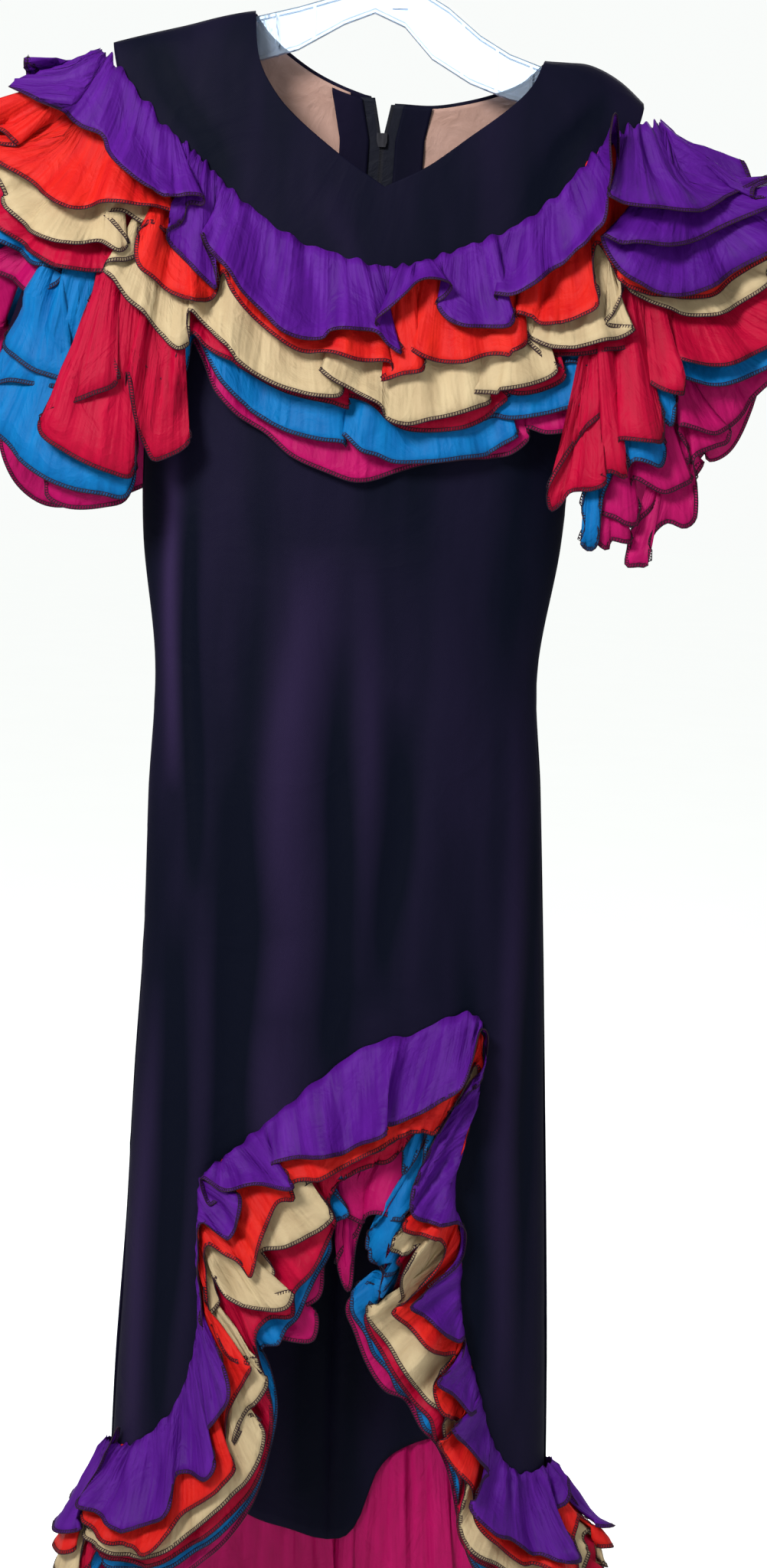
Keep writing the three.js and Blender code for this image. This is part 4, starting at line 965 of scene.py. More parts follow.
    @staticmethod
    def laid(points: Array) -> Ruffle:
        """A tier with its cloth places: metres along its free edge, and up from it.

        Args:
            points: its grid, from seam to edge.

        Returns:
            The tier.
        """
        run = np.linalg.norm(np.diff(points[-1], axis=0), axis=1)
        along = np.concatenate([[0.0], np.cumsum(run)])
        rise = np.linalg.norm(np.diff(points, axis=0), axis=2)[::-1]
        up = np.vstack([np.zeros(points.shape[1]), np.cumsum(rise, axis=0)])[::-1]
        cloth = np.stack([np.broadcast_to(along, up.shape), up], axis=-1) * METRES
        return Ruffle(points, cloth)


# ---- meshes


def stand(name: str, data: bpy.types.ID) -> Piece:
    """A new object of the scene."""
    obj = bpy.data.objects.new(name, data)
    bpy.context.scene.collection.objects.link(obj)
    return obj


def turned(axes: list[Array], place: Array) -> Matrix:
    """The matrix whose columns are three axes and a place."""
    matrix = np.eye(4)
    matrix[:3, :3], matrix[:3, 3] = np.column_stack(axes), place
    return Matrix(matrix.tolist())


def put_mesh(name: str, points: Array, faces: Array | list[list[int]], uv: Array | None = None,
             masks: dict[str, Array] | None = None, smooth: bool = True) -> Piece:
    """Makes an object, standing at the origin, from points in millimetres.

    Args:
        name: the piece's name.
        points: its vertices.
        faces: vertex numbers, one row for each face.
        uv: a place on the cloth for each vertex, in metres.
        masks: named values for each vertex.
        smooth: whether its faces shade smoothly.

    Returns:
        The object.
    """
    mesh = bpy.data.meshes.new(name)
    faces = faces if isinstance(faces, list) else faces.tolist()
    mesh.from_pydata((points.reshape(-1, 3) * METRES).tolist(), [], faces)
    mesh.polygons.foreach_set("use_smooth", np.full(len(mesh.polygons), smooth))
    if uv is not None:
        corners = np.empty(len(mesh.loops), dtype=np.int32)
        mesh.loops.foreach_get("vertex_index", corners)
        layer = mesh.uv_layers.new(name="cloth")
        layer.uv.foreach_set("vector", uv.reshape(-1, 2)[corners].astype(np.float32).ravel())
    for mask, values in (masks or {}).items():
        data = mesh.attributes.new(mask, "FLOAT", "POINT").data
        data.foreach_set("value", values.astype(np.float32).ravel())
    mesh.update()
    return stand(name, mesh)


def grid_faces(rows: int, columns: int, ring: bool = False, loop: bool = False) -> Array:
    """Four-sided faces of a grid of points.

    Args:
        rows: its rows.
        columns: its columns.
        ring: whether its last column joins its first.
        loop: whether its last row joins its first.

    Returns:
        Point numbers, one row for each face.
    """
    r, c = np.meshgrid(np.arange(rows if loop else rows - 1),
                       np.arange(columns if ring else columns - 1), indexing="ij")
    below, beside = (r + 1) % rows, (c + 1) % columns
    return np.stack([r * columns + c, below * columns + c, below * columns + beside,
                     r * columns + beside], axis=-1).reshape(-1, 4)


def thicken(obj: Piece, thick: float) -> None:
    """Gives a surface its cloth's thickness in millimetres, half to each side.

    Args:
        obj: the piece.
        thick: its thickness.
    """
    wall = obj.modifiers.new("cloth", "SOLIDIFY")
    wall.thickness = thick * METRES
    wall.offset = 0.0
    wall.use_even_offset = False


def tube(path: Array, across: Array, radius: float, sides: int,
         loop: bool = False) -> tuple[Array, Array]:
    """A tube: path + radius (cos a across + sin a up), for angles a round each station.

    Args:
        path: its centre line.
        across: a way across the path, for each station.
        radius: its radius.
        sides: how many sides its section has.
        loop: whether its end joins its start.

    Returns:
        Points and faces.
    """
    ahead = unit(np.roll(path, -1, axis=0) - np.roll(path, 1, axis=0) if loop
                 else np.gradient(path, axis=0))
    side = unit(across - (across * ahead).sum(axis=1, keepdims=True) * ahead)
    up = np.cross(ahead, side)
    angle = (np.arange(sides) / sides * TURN)[None, :, None]
    points = path[:, None] + radius * (np.cos(angle) * side[:, None] + np.sin(angle) * up[:, None])
    return points.reshape(-1, 3), grid_faces(len(path), sides, True, loop)


# ---- finishes


class Nodes:
    """A short hand for building a node tree."""

    def __init__(self, tree: Tree) -> None:
        """Keeps the tree that nodes are added to."""
        self.tree = tree

    def add(self, kind: str, **settings: object) -> Node:
        """A new node with its settings."""
        node = self.tree.nodes.new(kind)
        for key, value in settings.items():
            setattr(node, key, value)
        return node

    def link(self, source: Socket, target: Socket) -> None:
        """Joins two sockets."""
        self.tree.links.new(source, target)

    def fill(self, slots: dict[Socket, object]) -> None:
        """Sets each socket to a value, or joins it to the socket that gives one."""
        for slot, value in slots.items():
            if isinstance(value, Socket):
                self.link(value, slot)
            else:
                slot.default_value = value

    def dress(self, node: Node, values: dict[str, object]) -> None:
        """Fills a node's sockets by their names."""
        self.fill({node.inputs[name]: value for name, value in values.items()})

    def maths(self, operation: str, *inputs: object) -> Socket:
        """A maths node's result; an input is a number or a socket."""
        node = self.add("ShaderNodeMath", operation=operation)
        self.fill(dict(zip(node.inputs, inputs)))
        return node.outputs[0]

    def blend(self, share: object, low: object, high: object,
              blend_type: str = "MIX") -> Socket:
        """A colour between two, by a share that is a number or a socket."""
        node = self.add("ShaderNodeMix", data_type="RGBA", blend_type=blend_type)
        self.fill(dict(zip((node.inputs[0], node.inputs[6], node.inputs[7]), (share, low, high))))
        return node.outputs[2]

    def place(self) -> Socket:
        """The piece's own coordinates."""
        return self.add("ShaderNodeTexCoord").outputs["Object"]

    def noise(self, source: Socket, scale: float, detail: float = 3.0,
              stretch: Triple = (1, 1, 1)) -> Socket:
        """Noise on given coordinates, stretched by dividing its scale along each axis.

        Args:
            source: the coordinates.
            scale: its scale.
            detail: its detail.
            stretch: the coordinates' scale along each axis.

        Returns:
            Its value.
        """
        mapping = self.add("ShaderNodeMapping")
        self.dress(mapping, {"Scale": stretch, "Vector": source})
        node = self.add("ShaderNodeTexNoise")
        self.dress(node, {"Scale": scale, "Detail": detail, "Vector": mapping.outputs[0]})
        return node.outputs["Fac"]


def group_sockets(group: Tree, inputs: dict[str, str],
                  outputs: dict[str, str]) -> tuple[Node, Node]:
    """Gives a group its named sockets, and returns its input and output nodes."""
    for name, kind in inputs.items():
        group.interface.new_socket(name, in_out="INPUT", socket_type=kind)
    for name, kind in outputs.items():
        group.interface.new_socket(name, in_out="OUTPUT", socket_type=kind)
    return group.nodes.new("NodeGroupInput"), group.nodes.new("NodeGroupOutput")


def weave_group() -> Tree:
    """Plain weave on the cloth's own places: two crossed threads, and a slub along each.

    Height = |sin| of warp and weft, taken in turn like a chequer; Tone is a soft mottle.

    Returns:
        The group.
    """
    group = bpy.data.node_groups.new("weave", "ShaderNodeTree")
    enter, leave = group_sockets(
        group, {"Place": "NodeSocketVector", "Pitch": "NodeSocketFloat"},
        {"Height": "NodeSocketFloat", "Tone": "NodeSocketFloat"})
    n = Nodes(group)
    split = n.add("ShaderNodeSeparateXYZ")
    n.link(enter.outputs["Place"], split.inputs[0])
    angle = n.maths("DIVIDE", math.pi, enter.outputs["Pitch"])
    warp = n.maths("SINE", n.maths("MULTIPLY", split.outputs[0], angle))
    weft = n.maths("SINE", n.maths("MULTIPLY", split.outputs[1], angle))
    height = n.maths("MULTIPLY_ADD", n.maths("MULTIPLY", warp, weft), 0.5, 0.5)
    n.link(height, leave.inputs["Height"])
    mottle = n.noise(enter.outputs["Place"], 60.0, 4.0, (1.0, 0.35, 1.0))
    n.link(mottle, leave.inputs["Tone"])
    return group


def wear_group() -> Tree:
    """Soft rubbed wrinkles: a warped noise whose ridges stand up and catch the light.

    Returns:
        The group.
    """
    group = bpy.data.node_groups.new("wrinkles", "ShaderNodeTree")
    enter, leave = group_sockets(
        group, {"Place": "NodeSocketVector", "Scale": "NodeSocketFloat"},
        {"Height": "NodeSocketFloat"})
    n = Nodes(group)
    node = n.add("ShaderNodeTexNoise")
    n.dress(node, {"Detail": 5.0, "Distortion": 0.8, "Vector": enter.outputs["Place"],
                   "Scale": enter.outputs["Scale"]})
    ridge = n.maths("ABSOLUTE", n.maths("SUBTRACT", node.outputs["Fac"], 0.5))
    n.link(n.maths("SUBTRACT", 1.0, n.maths("MULTIPLY", ridge, 3.0)), leave.inputs["Height"])
    return group


def use_group(n: Nodes, group: Tree, place: Socket,
              **values: float) -> Node:
    """A group placed in a material, with its own values."""
    node = n.add("ShaderNodeGroup", node_tree=group)
    n.dress(node, {"Place": place, **values})
    return node


def start_material(name: str) -> tuple[Material, Nodes, Node]:
    """A new material with one Principled shader.

    Args:
        name: its name.

    Returns:
        The material, its nodes and its shader.
    """
    material = bpy.data.materials.new(name)
    material.use_nodes = True
    n = Nodes(material.node_tree)
    material.node_tree.nodes.clear()
    shader = n.add("ShaderNodeBsdfPrincipled")
    finish = n.add("ShaderNodeOutputMaterial")
    n.link(shader.outputs[0], finish.inputs[0])
    return material, n, shader


def bumps(n: Nodes, shader: Node, layers: list[tuple[Socket, float]]) -> None:
    """Bump nodes in a row, each a height and how many metres it stands."""
    last = None
    for height, depth in layers:
        bump = n.add("ShaderNodeBump")
        n.dress(bump, {"Distance": depth, "Strength": 1.0, "Height": height})
        if last is not None:
            n.link(last, bump.inputs["Normal"])
        last = bump.outputs["Normal"]
    n.link(last, shader.inputs["Normal"])


@dataclass(frozen=True)
class RuffleCloth:
    """A ruffle's plain weave, in one colour with painted light and shade, darker under its overlocked
    edge.
    """

    name: str
    colour: Triple
    light: Triple
    shade: Triple
    roughness: float = 0.50
    sheen: float = 0.04
    pitch: float = 0.00042
    edge: float = 0.0030

    def material(self, weave: Tree, wrinkles: Tree) -> Material:
        """Builds it: painted shade and light colours blended by a mottle and by the pleat noise, weave and
        wrinkle bumps, a thread band.

        Args:
            weave: the weave group.
            wrinkles: the wrinkle group.

        Returns:
            The material.
        """
        material, n, shader = start_material(self.name)
        uv = n.add("ShaderNodeUVMap", uv_map="cloth").outputs[0]
        cloth = use_group(n, weave, uv, Pitch=self.pitch)
        fold = use_group(n, wrinkles, uv, Scale=26.0)
        pleats_and_painted_shade = n.noise(uv, 75.0, 2.0, (1.0, 0.10, 1.0))
        tone = n.maths("MULTIPLY_ADD", cloth.outputs["Tone"], 1.5, -0.85)
        # the pleat noise that bumps the gathers also paints shade in their hollows and light on their
        # ridges
        tone = n.maths("ADD", tone, pleats_and_painted_shade)
        colour = n.blend(tone, (*self.shade, 1), (*self.light, 1))
        colour = n.blend(0.45, (*self.colour, 1), colour)
        grain = n.maths("MULTIPLY_ADD", cloth.outputs["Height"], 0.16, 0.92)
        colour = n.blend(1.0, colour, grain, "MULTIPLY")
        split = n.add("ShaderNodeSeparateXYZ")
        n.link(uv, split.inputs[0])
        band = n.maths("LESS_THAN", split.outputs[1], self.edge)
        colour = n.blend(n.maths("MULTIPLY", band, 0.35), colour, (0.02, 0.005, 0.015, 1))
        rough = n.maths("MULTIPLY_ADD", cloth.outputs["Tone"], 0.16, self.roughness - 0.08)
        n.dress(shader, {"Base Color": colour, "Roughness": rough, "Specular IOR Level": 0.10,
                         "Sheen Weight": self.sheen, "Sheen Roughness": 0.45,
                         "Sheen Tint": (*self.light, 1)})
        bumps(n, shader, [(pleats_and_painted_shade, 0.0040), (fold.outputs["Height"], 0.0014),
                          (cloth.outputs["Height"], 0.00006)])
        return material


# a ruffle's colour, where light catches it and where it lies in shade
TIER_COLOURS = {
    Tier.PURPLE: table("0.072,0.005,0.205 0.122,0.013,0.32 0.03,0.002,0.1"),
    Tier.ORANGE: table("0.58,0.011,0.009 0.72,0.03,0.013 0.37,0.003,0.009"),
    Tier.CREAM: table("0.485,0.375,0.215 0.63,0.52,0.325 0.31,0.22,0.13"),
    Tier.CRIMSON: table("0.4,0.001,0.028 0.51,0.002,0.04 0.21,0.001,0.016"),
    Tier.BLUE: table("0.001,0.122,0.37 0.003,0.215,0.53 0.001,0.062,0.22"),
    Tier.MAGENTA: table("0.385,0.002,0.092 0.5,0.006,0.135 0.2,0.001,0.05"),
}


@dataclass(frozen=True)
class Crepe:
    """The sheath's black-navy stretch crepe, with a purple sheen painted on the crests of its folds."""

    name: str = "crepe"
    colour: Triple = (0.0012, 0.0022, 0.0080)
    # the lighter purple painted on fold crests and in streaks: a painted sheen
    painted_sheen: Triple = (0.0230, 0.0135, 0.0500)
    pitch: float = 0.0009

    def material(self, weave: Tree, wrinkles: Tree) -> Material:
        """Builds it: a purple sheen painted by the piece's own sheen values and random streaks, pebbled
        weave and soft wrinkles.

        Args:
            weave: the weave group.
            wrinkles: the wrinkle group.

        Returns:
            The material.
        """
        material, n, shader = start_material(self.name)
        place = n.place()
        uv = n.add("ShaderNodeUVMap", uv_map="cloth").outputs[0]
        cloth = use_group(n, weave, uv, Pitch=self.pitch)
        fold = use_group(n, wrinkles, place, Scale=9.0)
        # random vertical streaks and the piece's sheen mask blend the colour toward a lighter purple: a
        # painted sheen
        painted_sheen_streak = n.noise(place, 14.0, 3.0, (1.0, 1.0, 0.16))
        sheen = n.add("ShaderNodeAttribute", attribute_name="sheen").outputs["Fac"]
        share = n.maths("MULTIPLY_ADD", painted_sheen_streak, 0.7, -0.22)
        share = n.maths("ADD", share, n.maths("MULTIPLY", sheen, 0.62))
        node = n.add("ShaderNodeClamp")
        n.link(share, node.inputs[0])
        colour = n.blend(node.outputs[0], (*self.colour, 1), (*self.painted_sheen, 1))
        rough = n.maths("MULTIPLY_ADD", cloth.outputs["Tone"], 0.12, 0.60)
        n.dress(shader, {"Base Color": colour, "Roughness": rough, "Specular IOR Level": 0.05,
                         "Sheen Weight": 0.012, "Sheen Roughness": 0.40,
                         "Sheen Tint": (0.30, 0.24, 0.62, 1)})
        pebble = n.noise(place, 1400.0, 2.0)
        bumps(n, shader, [(fold.outputs["Height"], 0.0014), (pebble, 0.00010),
                          (cloth.outputs["Height"], 0.00005)])
        return material


@dataclass(frozen=True)
class PlainCloth:
    """Lining, tape or thread: a plain weave in one mottled colour."""

    name: str
    colour: Triple
    light: Triple
    roughness: float = 0.7
    scale: float = 30.0
    depth: float = 0.0012
    sheen: float = 0.15

    def material(self, wrinkles: Tree) -> Material:
        """Builds it on the piece's own place, so that every piece is mottled differently.

        Args:
            wrinkles: the wrinkle group.

        Returns:
            The material.
        """
        material, n, shader = start_material(self.name)
        place = n.place()
        fold = use_group(n, wrinkles, place, Scale=self.scale)
        tone = n.noise(place, 45.0, 4.0)
        n.dress(shader, {
            "Base Color": n.blend(tone, (*self.colour, 1), (*self.light, 1)),
            "Roughness": n.maths("MULTIPLY_ADD", tone, 0.2, self.roughness - 0.1),
            "Sheen Weight": self.sheen, "Specular IOR Level": 0.15})
        fine = n.noise(place, 1800.0, 2.0)
        bumps(n, shader, [(fold.outputs["Height"], self.depth), (fine, 0.00008)])
        return material


@dataclass(frozen=True)
class Metal:
    """A metal with fine scratches."""

    name: str
    colour: Triple
    roughness: float

    def material(self) -> Material:
        """Builds it: roughness and a faint bump follow a fine noise.

        Returns:
            The material.
        """
        material, n, shader = start_material(self.name)
        place = n.place()
        scratch = n.noise(place, 700.0, 3.0, (1.0, 1.0, 0.2))
        dull = (*(0.6 * value for value in self.colour), 1)
        n.dress(shader, {
            "Base Color": n.blend(scratch, dull, (*self.colour, 1)),
            "Roughness": n.maths("MULTIPLY_ADD", scratch, 0.2, self.roughness - 0.1),
            "Metallic": 1.0})
        bumps(n, shader, [(scratch, 0.00002)])
        return material


@dataclass(frozen=True)
class ClearPlastic:
    """The hanger's clear moulding, pale blue, with deeper blue rims painted by the view angle, flow marks
    and rubbed haze.
    """

    name: str = "clear_plastic"
    painted_rim_tint: Triple = (0.10, 0.18, 0.36)

    def material(self) -> Material:
        """Builds it: transmission, with haze in the colour and roughness, and a painted rim shade by the
        view angle.

        Returns:
            The material.
        """
        material, n, shader = start_material(self.name)
        place = n.place()
        haze = n.noise(place, 60.0, 4.0, (1.0, 1.0, 0.5))
        pale = n.blend(haze, (0.36, 0.48, 0.66, 1), (0.60, 0.72, 0.86, 1))
        # facing: the colour turns from pale blue to the deeper tint where the surface turns from the view,
        # a painted rim shade
        facing = n.add("ShaderNodeLayerWeight")
        facing.inputs["Blend"].default_value = 0.42
        n.dress(shader, {
            "Base Color": n.blend(facing.outputs["Facing"], pale, (*self.painted_rim_tint, 1)),
            "Roughness": n.maths("MULTIPLY_ADD", haze, 0.10, 0.03),
            "Transmission Weight": 0.74, "IOR": 1.49})
        bumps(n, shader, [(haze, 0.0006)])
        return material


class Finishes:
    """Every material of the dress, made once."""

    def __init__(self) -> None:
        """Builds the shared groups and the materials."""
        weave, wrinkles = weave_group(), wear_group()
        self.tiers = {
            tier: RuffleCloth(f"{tier.name.lower()}_ruffle", *colours.tolist()).material(weave, wrinkles)
            for tier, colours in TIER_COLOURS.items()}
        self.crepe = Crepe().material(weave, wrinkles)
        self.lining = PlainCloth(
            "tan_lining", (0.32, 0.185, 0.145), (0.50, 0.320, 0.270)).material(wrinkles)
        self.tape = PlainCloth(
            "black_tape", (0.003, 0.004, 0.009), (0.007, 0.008, 0.018), sheen=0.02).material(wrinkles)
        self.thread = PlainCloth(
            "overlock_thread", (0.006, 0.0015, 0.006), (0.030, 0.008, 0.022), 0.6, 60.0, 0.0002,
            0.02).material(wrinkles)
        self.black_metal = Metal("lacquered_metal", (0.05, 0.05, 0.06), 0.38).material()
        self.teeth = Metal("coil_teeth", (0.03, 0.03, 0.035), 0.45).material()
        self.steel = Metal("plated_wire", (0.72, 0.73, 0.76), 0.2).material()
        self.plastic = ClearPlastic().material()


# ---- pieces


def finish_piece(obj: Piece, material: Material,
                 replaced: tuple[str, ...] = (), body: str = DRESS) -> Piece:
    """Dresses a piece, rides it on a body and hides the CAD nodes that it stands for.

    Args:
        obj: the piece.
        material: its finish.
        replaced: the CAD nodes that it stands for.
        body: the body it rides.

    Returns:
        The piece.
    """
    obj.data.materials.clear()
    obj.data.materials.append(material)
    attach(obj, body)
    if replaced:
        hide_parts(*replaced)
    LOG.info("%s: %d faces", obj.name, len(obj.data.polygons))
    return obj


def hung_piece(node: str, points: Array, cloth: Array, material: Material,
               thick: float, sheen: Array | None = None) -> None:
    """Makes a hung sheet that stands for a node: a wall on a grid, and its finish.

    Args:
        node: the CAD node.
        points: its grid [row, column, 3].
        cloth: a place on the cloth for each point, in metres.
        material: its finish.
        thick: its thickness.
        sheen: how much painted sheen each point gets in the crepe's colour, painted shade where negative.
    """
    # the sheen mask carries a painted sheen into the crepe's base colour
    masks = None if sheen is None else {"sheen": sheen}
    obj = put_mesh(f"{node}_cloth", points, grid_faces(*points.shape[:2]), cloth, masks)
    thicken(obj, thick)
    finish_piece(obj, material, (node,))


@dataclass
class Assembly:
    """A part of the dress that is made and dressed on its own."""

    finishes: Finishes


@dataclass
class Sheath(Assembly):
    """The three crepe panels, each a thin wall on the sheath's form with its creases."""

    rows: int = 150
    per: int = 6
    crowd: float = 1.25
    thick: float = 1.0
    calm_depth: float = 22.0
    calm_from: float = 0.35

    def grid(self, grain: Array, side: int, breaks: tuple[int, ...], spread: Pair,
             centre: int) -> tuple[Array, Array, Array]:
        """A panel's points, cloth places and painted sheen.

        Args:
            grain: its grain lines.
            side: -1 for the front, 1 for the back.
            breaks: grain lines at which its edge turns a corner.
            spread: share of the half width that its first and last line have at the waist.
            centre: 1 or -1 where the first line follows the zip, else 0.

        Returns:
            Points [row, column, 3], cloth places in metres, and painted sheen. Across the waist the lines
            are spread evenly round, sin(spread pi / 2); above and below they run straight to
            their ends on the neck, shoulder and hem.
        """
        lines = through(grain, breaks, self.per)
        share = np.linspace(spread[0], spread[1], len(lines))
        even = np.sin(share * math.pi / 2)[None, :]
        fall = (np.linspace(0, 1, self.rows + 1) ** self.crowd)[:, None]
        top_x, top_z, hem_x, hem_z = (lines[None, :, i] for i in range(4))
        z = mix(top_z, hem_z, fall)
        above = mix(FORM.share(top_x, top_z), even, (top_z - z) / (top_z - WAIST))
        below = mix(even, FORM.share(hem_x, hem_z), (WAIST - z) / (WAIST - hem_z))
        place = np.clip(np.where(z > WAIST, above, below), -1, 1)
        for column in (0, -1):
            if abs(share[column]) == 1:
                place[:, column] = np.sign(share[column])
        x = FORM.across(place, z)
        if centre:
            x[:, 0] = FORM.centre.at(z[:, 0]) + centre * FORM.slot_half(z[:, 0])
        if side > 0:
            edge = Curve.of(BACK_EDGE, 1).at(x[-1])[None, :]
            down = (top_z - z) / (top_z - hem_z)
            z = mix(z, mix(top_z, edge, down), down)
        points = FORM.point(x, z, side)
        height, sheen = FORM.crease(x, z, side)
        calm = np.clip(FORM.half_depth(x, z) / self.calm_depth - self.calm_from, 0, 1)
        points[..., 1] += side * height * calm
        # the sheen, faded near the sides, is painted into the crepe's colour as a lighter purple
        return points, np.stack([x, z], axis=-1) * METRES, sheen * np.sqrt(calm)

    def build(self) -> None:
        """Builds the front and the two back panels."""
        for node, grain, side, breaks, spread, centre in (
            ("front_panel", FRONT_GRAIN, -1, (0, 4, 9, 14, 18), (-1, 1), 0),
            ("back_left", BACK_LEFT_GRAIN, 1, (0, 5, 9), (0, 1), 1),
            ("back_right", BACK_RIGHT_GRAIN, 1, (0, 5, 9), (0, -1), -1),
        ):
            points, cloth, sheen = self.grid(grain, side, breaks, spread, centre)
            hung_piece(node, points, cloth, self.finishes.crepe, self.thick, sheen)


@dataclass
class FlutterSleeves(Assembly):
    """The plain crepe bases that carry the ruffles over the arms."""

    start: float = 0.03
    end: float = 0.79
    inset: float = 3.5
    gap: float = 0.9
    rows: int = 24
    columns: int = 48
    rise: float = 0.3
    armhole_end: float = -410.0
    under: float = 0.7
    thick: float = 1.0

    def armhole(self, tip: float, toward: float, down: Array) -> Array:
        """Where the stack's surface crosses the armhole's edge, found by halving.

        Args:
            tip: the stack's row over the arm.
            toward: rows from there to one that lies on the body.
            down: places down the stack.

        Returns:
            The share once round, for each place.
        """
        count = len(BERTHA.rows)
        a = np.full_like(down, tip / count)
        b = np.full_like(down, (tip + toward) / count)
        for _ in range(30):
            middle = (a + b) / 2
            p = BERTHA.point(middle, down)
            beyond = np.abs(p[:, 0] - FORM.centre.at(p[:, 2])) > FORM.cut.at(p[:, 2]) + self.gap
            a, b = np.where(beyond, middle, a), np.where(beyond, b, middle)
        return a

    def build(self) -> None:
        """Builds both sleeves: a grid from armhole front to armhole back, inside the ruffles."""
        for node, tip, reach in (("sleeve_right", 0.0, 4.0), ("sleeve_left", 16.0, -4.0)):
            down = np.linspace(self.start, self.end, self.rows + 1)
            front, back = self.armhole(tip, reach, down), self.armhole(tip, -reach, down)
            c = np.linspace(0, 1, self.columns + 1)
            share = mix(front[:, None], back[:, None], c[None, :])
            deep = np.broadcast_to(down[:, None], share.shape)
            p, out = BERTHA.point(share, deep), BERTHA.out(share, deep)
            seat = np.clip(np.minimum(c, 1 - c) / self.rise, 0, 1)[None, :]
            hole = FORM.face(p[..., 0], p[..., 2]) * np.sign(p[..., 1])
            p[..., 1] = np.where(p[..., 2] > self.armhole_end, mix(hole, p[..., 1], seat), p[..., 1])
            p = p - out * (mix(BERTHA.seat, self.inset, seat) + self.under)[..., None]
            cloth = np.stack([p[..., 0] + p[..., 1], p[..., 2]], axis=-1) * METRES
            hung_piece(node, p, cloth, self.finishes.crepe, self.thick,
                       np.zeros(p.shape[:2]))


@dataclass
class BackInside(Assembly):
    """Lining, facings and zip tapes inside the upper back."""

    lining_rows: int = 60
    lining_start: float = 0.012
    lining_end: float = -384.0
    lining_layer: float = CREPE + 2 * SEAM_GAP + 0.5
    lining_thick: float = 0.5
    per: int = 6
    lines: tuple[int, int] = (4, 48)
    wrinkle: float = 0.55
    facing: tuple[float, float, int] = (12.5, 40.0, 12)
    facing_wave: float = 0.6
    facing_end: float = -330.0
    facing_layer: float = CREPE + 3 * SEAM_GAP + 1.5
    tape: tuple[float, float, int] = (0.2, 14.0, 7)
    tape_end: float = -600.0
    tape_layer: float = CREPE + SEAM_GAP + 0.5
    strip_thick: float = 0.8

    def strip(self, distances: Array, sign: int, drop: float, end: float, layer: float,
              rows: int) -> Array:
        """A strip beside the centre line.

        Args:
            distances: its columns' distances from the slot's edge.
            sign: 1 for the left one, -1 for the right.
            drop: how far below the neckline it starts.
            end: the height of its end.
            layer: how far inside the outer face it lies.
            rows: spans down it.

        Returns:
            Points [row, column, 3].
        """
        neck = Curve.of(BACK_LEFT_GRAIN if sign > 0 else BACK_RIGHT_GRAIN, 1)
        top = neck.at(sign * distances + FORM.centre.at(-150)) - drop
        z = mix(top[None, :], end, np.linspace(0, 1, rows + 1)[:, None])
        x = FORM.centre.at(z) + sign * (distances[None, :] + FORM.slot_half(z) - FORM.slot)
        return FORM.point(x, z, 1, layer)

    def lining(self, node: str, grain: Array, sign: int) -> None:
        """Half the lining: the back panel's form moved in, with soft slanting wrinkles.

        Args:
            node: its CAD node.
            grain: the back panel's grain lines.
            sign: 1 for the left half, -1 for the right.
        """
        first, last = self.lines
        spans = (len(grain) - 1) * self.per
        lines = through(grain, (0, 5, 9), self.per)[first:last + 1]
        line_x, line_z = lines[None, :, 0], lines[None, :, 1]
        fall = np.linspace(self.lining_start, 1, self.lining_rows + 1)[:, None]
        z = mix(line_z, self.lining_end, fall)
        spread = np.linspace(first / spans, last / spans, len(lines))
        even = np.sin(spread * math.pi / 2)[None, :] * sign
        x = FORM.across(mix(FORM.share(line_x, line_z), even, (line_z - z) / (line_z - WAIST)), z)
        points = FORM.point(x, z, 1, self.lining_layer)
        slant = x * 0.5 + z
        wrinkle = np.sin(slant / 9.0) + 0.6 * np.sin(slant / 5.3 + x / 31) + 0.5 * np.sin(x / 7.1)
        edge = np.clip(np.minimum(fall, 1 - fall) * 14, 0, 1)
        points[..., 1] -= self.wrinkle * (wrinkle + 1.9) * edge
        hung_piece(node, points, np.stack([x, z], axis=-1) * METRES, self.finishes.lining,
                   self.lining_thick)

    def build(self) -> None:
        """Builds the six pieces."""
        for side, sign, grain in (("left", 1, BACK_LEFT_GRAIN), ("right", -1, BACK_RIGHT_GRAIN)):
            self.lining(f"lining_back_{side}", grain, sign)
            facing = self.strip(np.linspace(*self.facing), sign, 2, self.facing_end,
                                self.facing_layer, 60)
            wave = np.sin(facing[..., 2] / 17.0 + sign) + np.sin(facing[..., 2] / 29.0)
            free = np.linspace(0, 1, facing.shape[1])
            facing[..., 1] -= self.facing_wave * (wave + 2) * free
            hung_piece(f"zip_facing_{side}", facing, facing[..., [0, 2]] * METRES,
                       self.finishes.crepe, self.strip_thick, np.zeros(facing.shape[:2]))
            tape = self.strip(np.linspace(*self.tape), sign, 1, self.tape_end, self.tape_layer, 120)
            hung_piece(f"zip_tape_{side}", tape, tape[..., [0, 2]] * METRES, self.finishes.tape,
                       self.strip_thick)


def boxes(centres: Array, half: Array) -> tuple[Array, Array]:
    """Many small boxes, each eight corners about its centre.

    Args:
        centres: one row for each box.
        half: half their sizes.

    Returns:
        Points and four-sided faces, facing out.
    """
    corner = np.array([(x, y, z) for z in (-1, 1) for y in (-1, 1) for x in (-1, 1)], dtype=float)
    quads = np.array([(0, 2, 3, 1), (4, 5, 7, 6), (0, 1, 5, 4), (2, 6, 7, 3), (0, 4, 6, 2),
                      (1, 3, 7, 5)])
    faces = (np.arange(len(centres))[:, None, None] * len(corner) + quads[None]).reshape(-1, 4)
    return (centres[:, None] + corner * half).reshape(-1, 3), faces


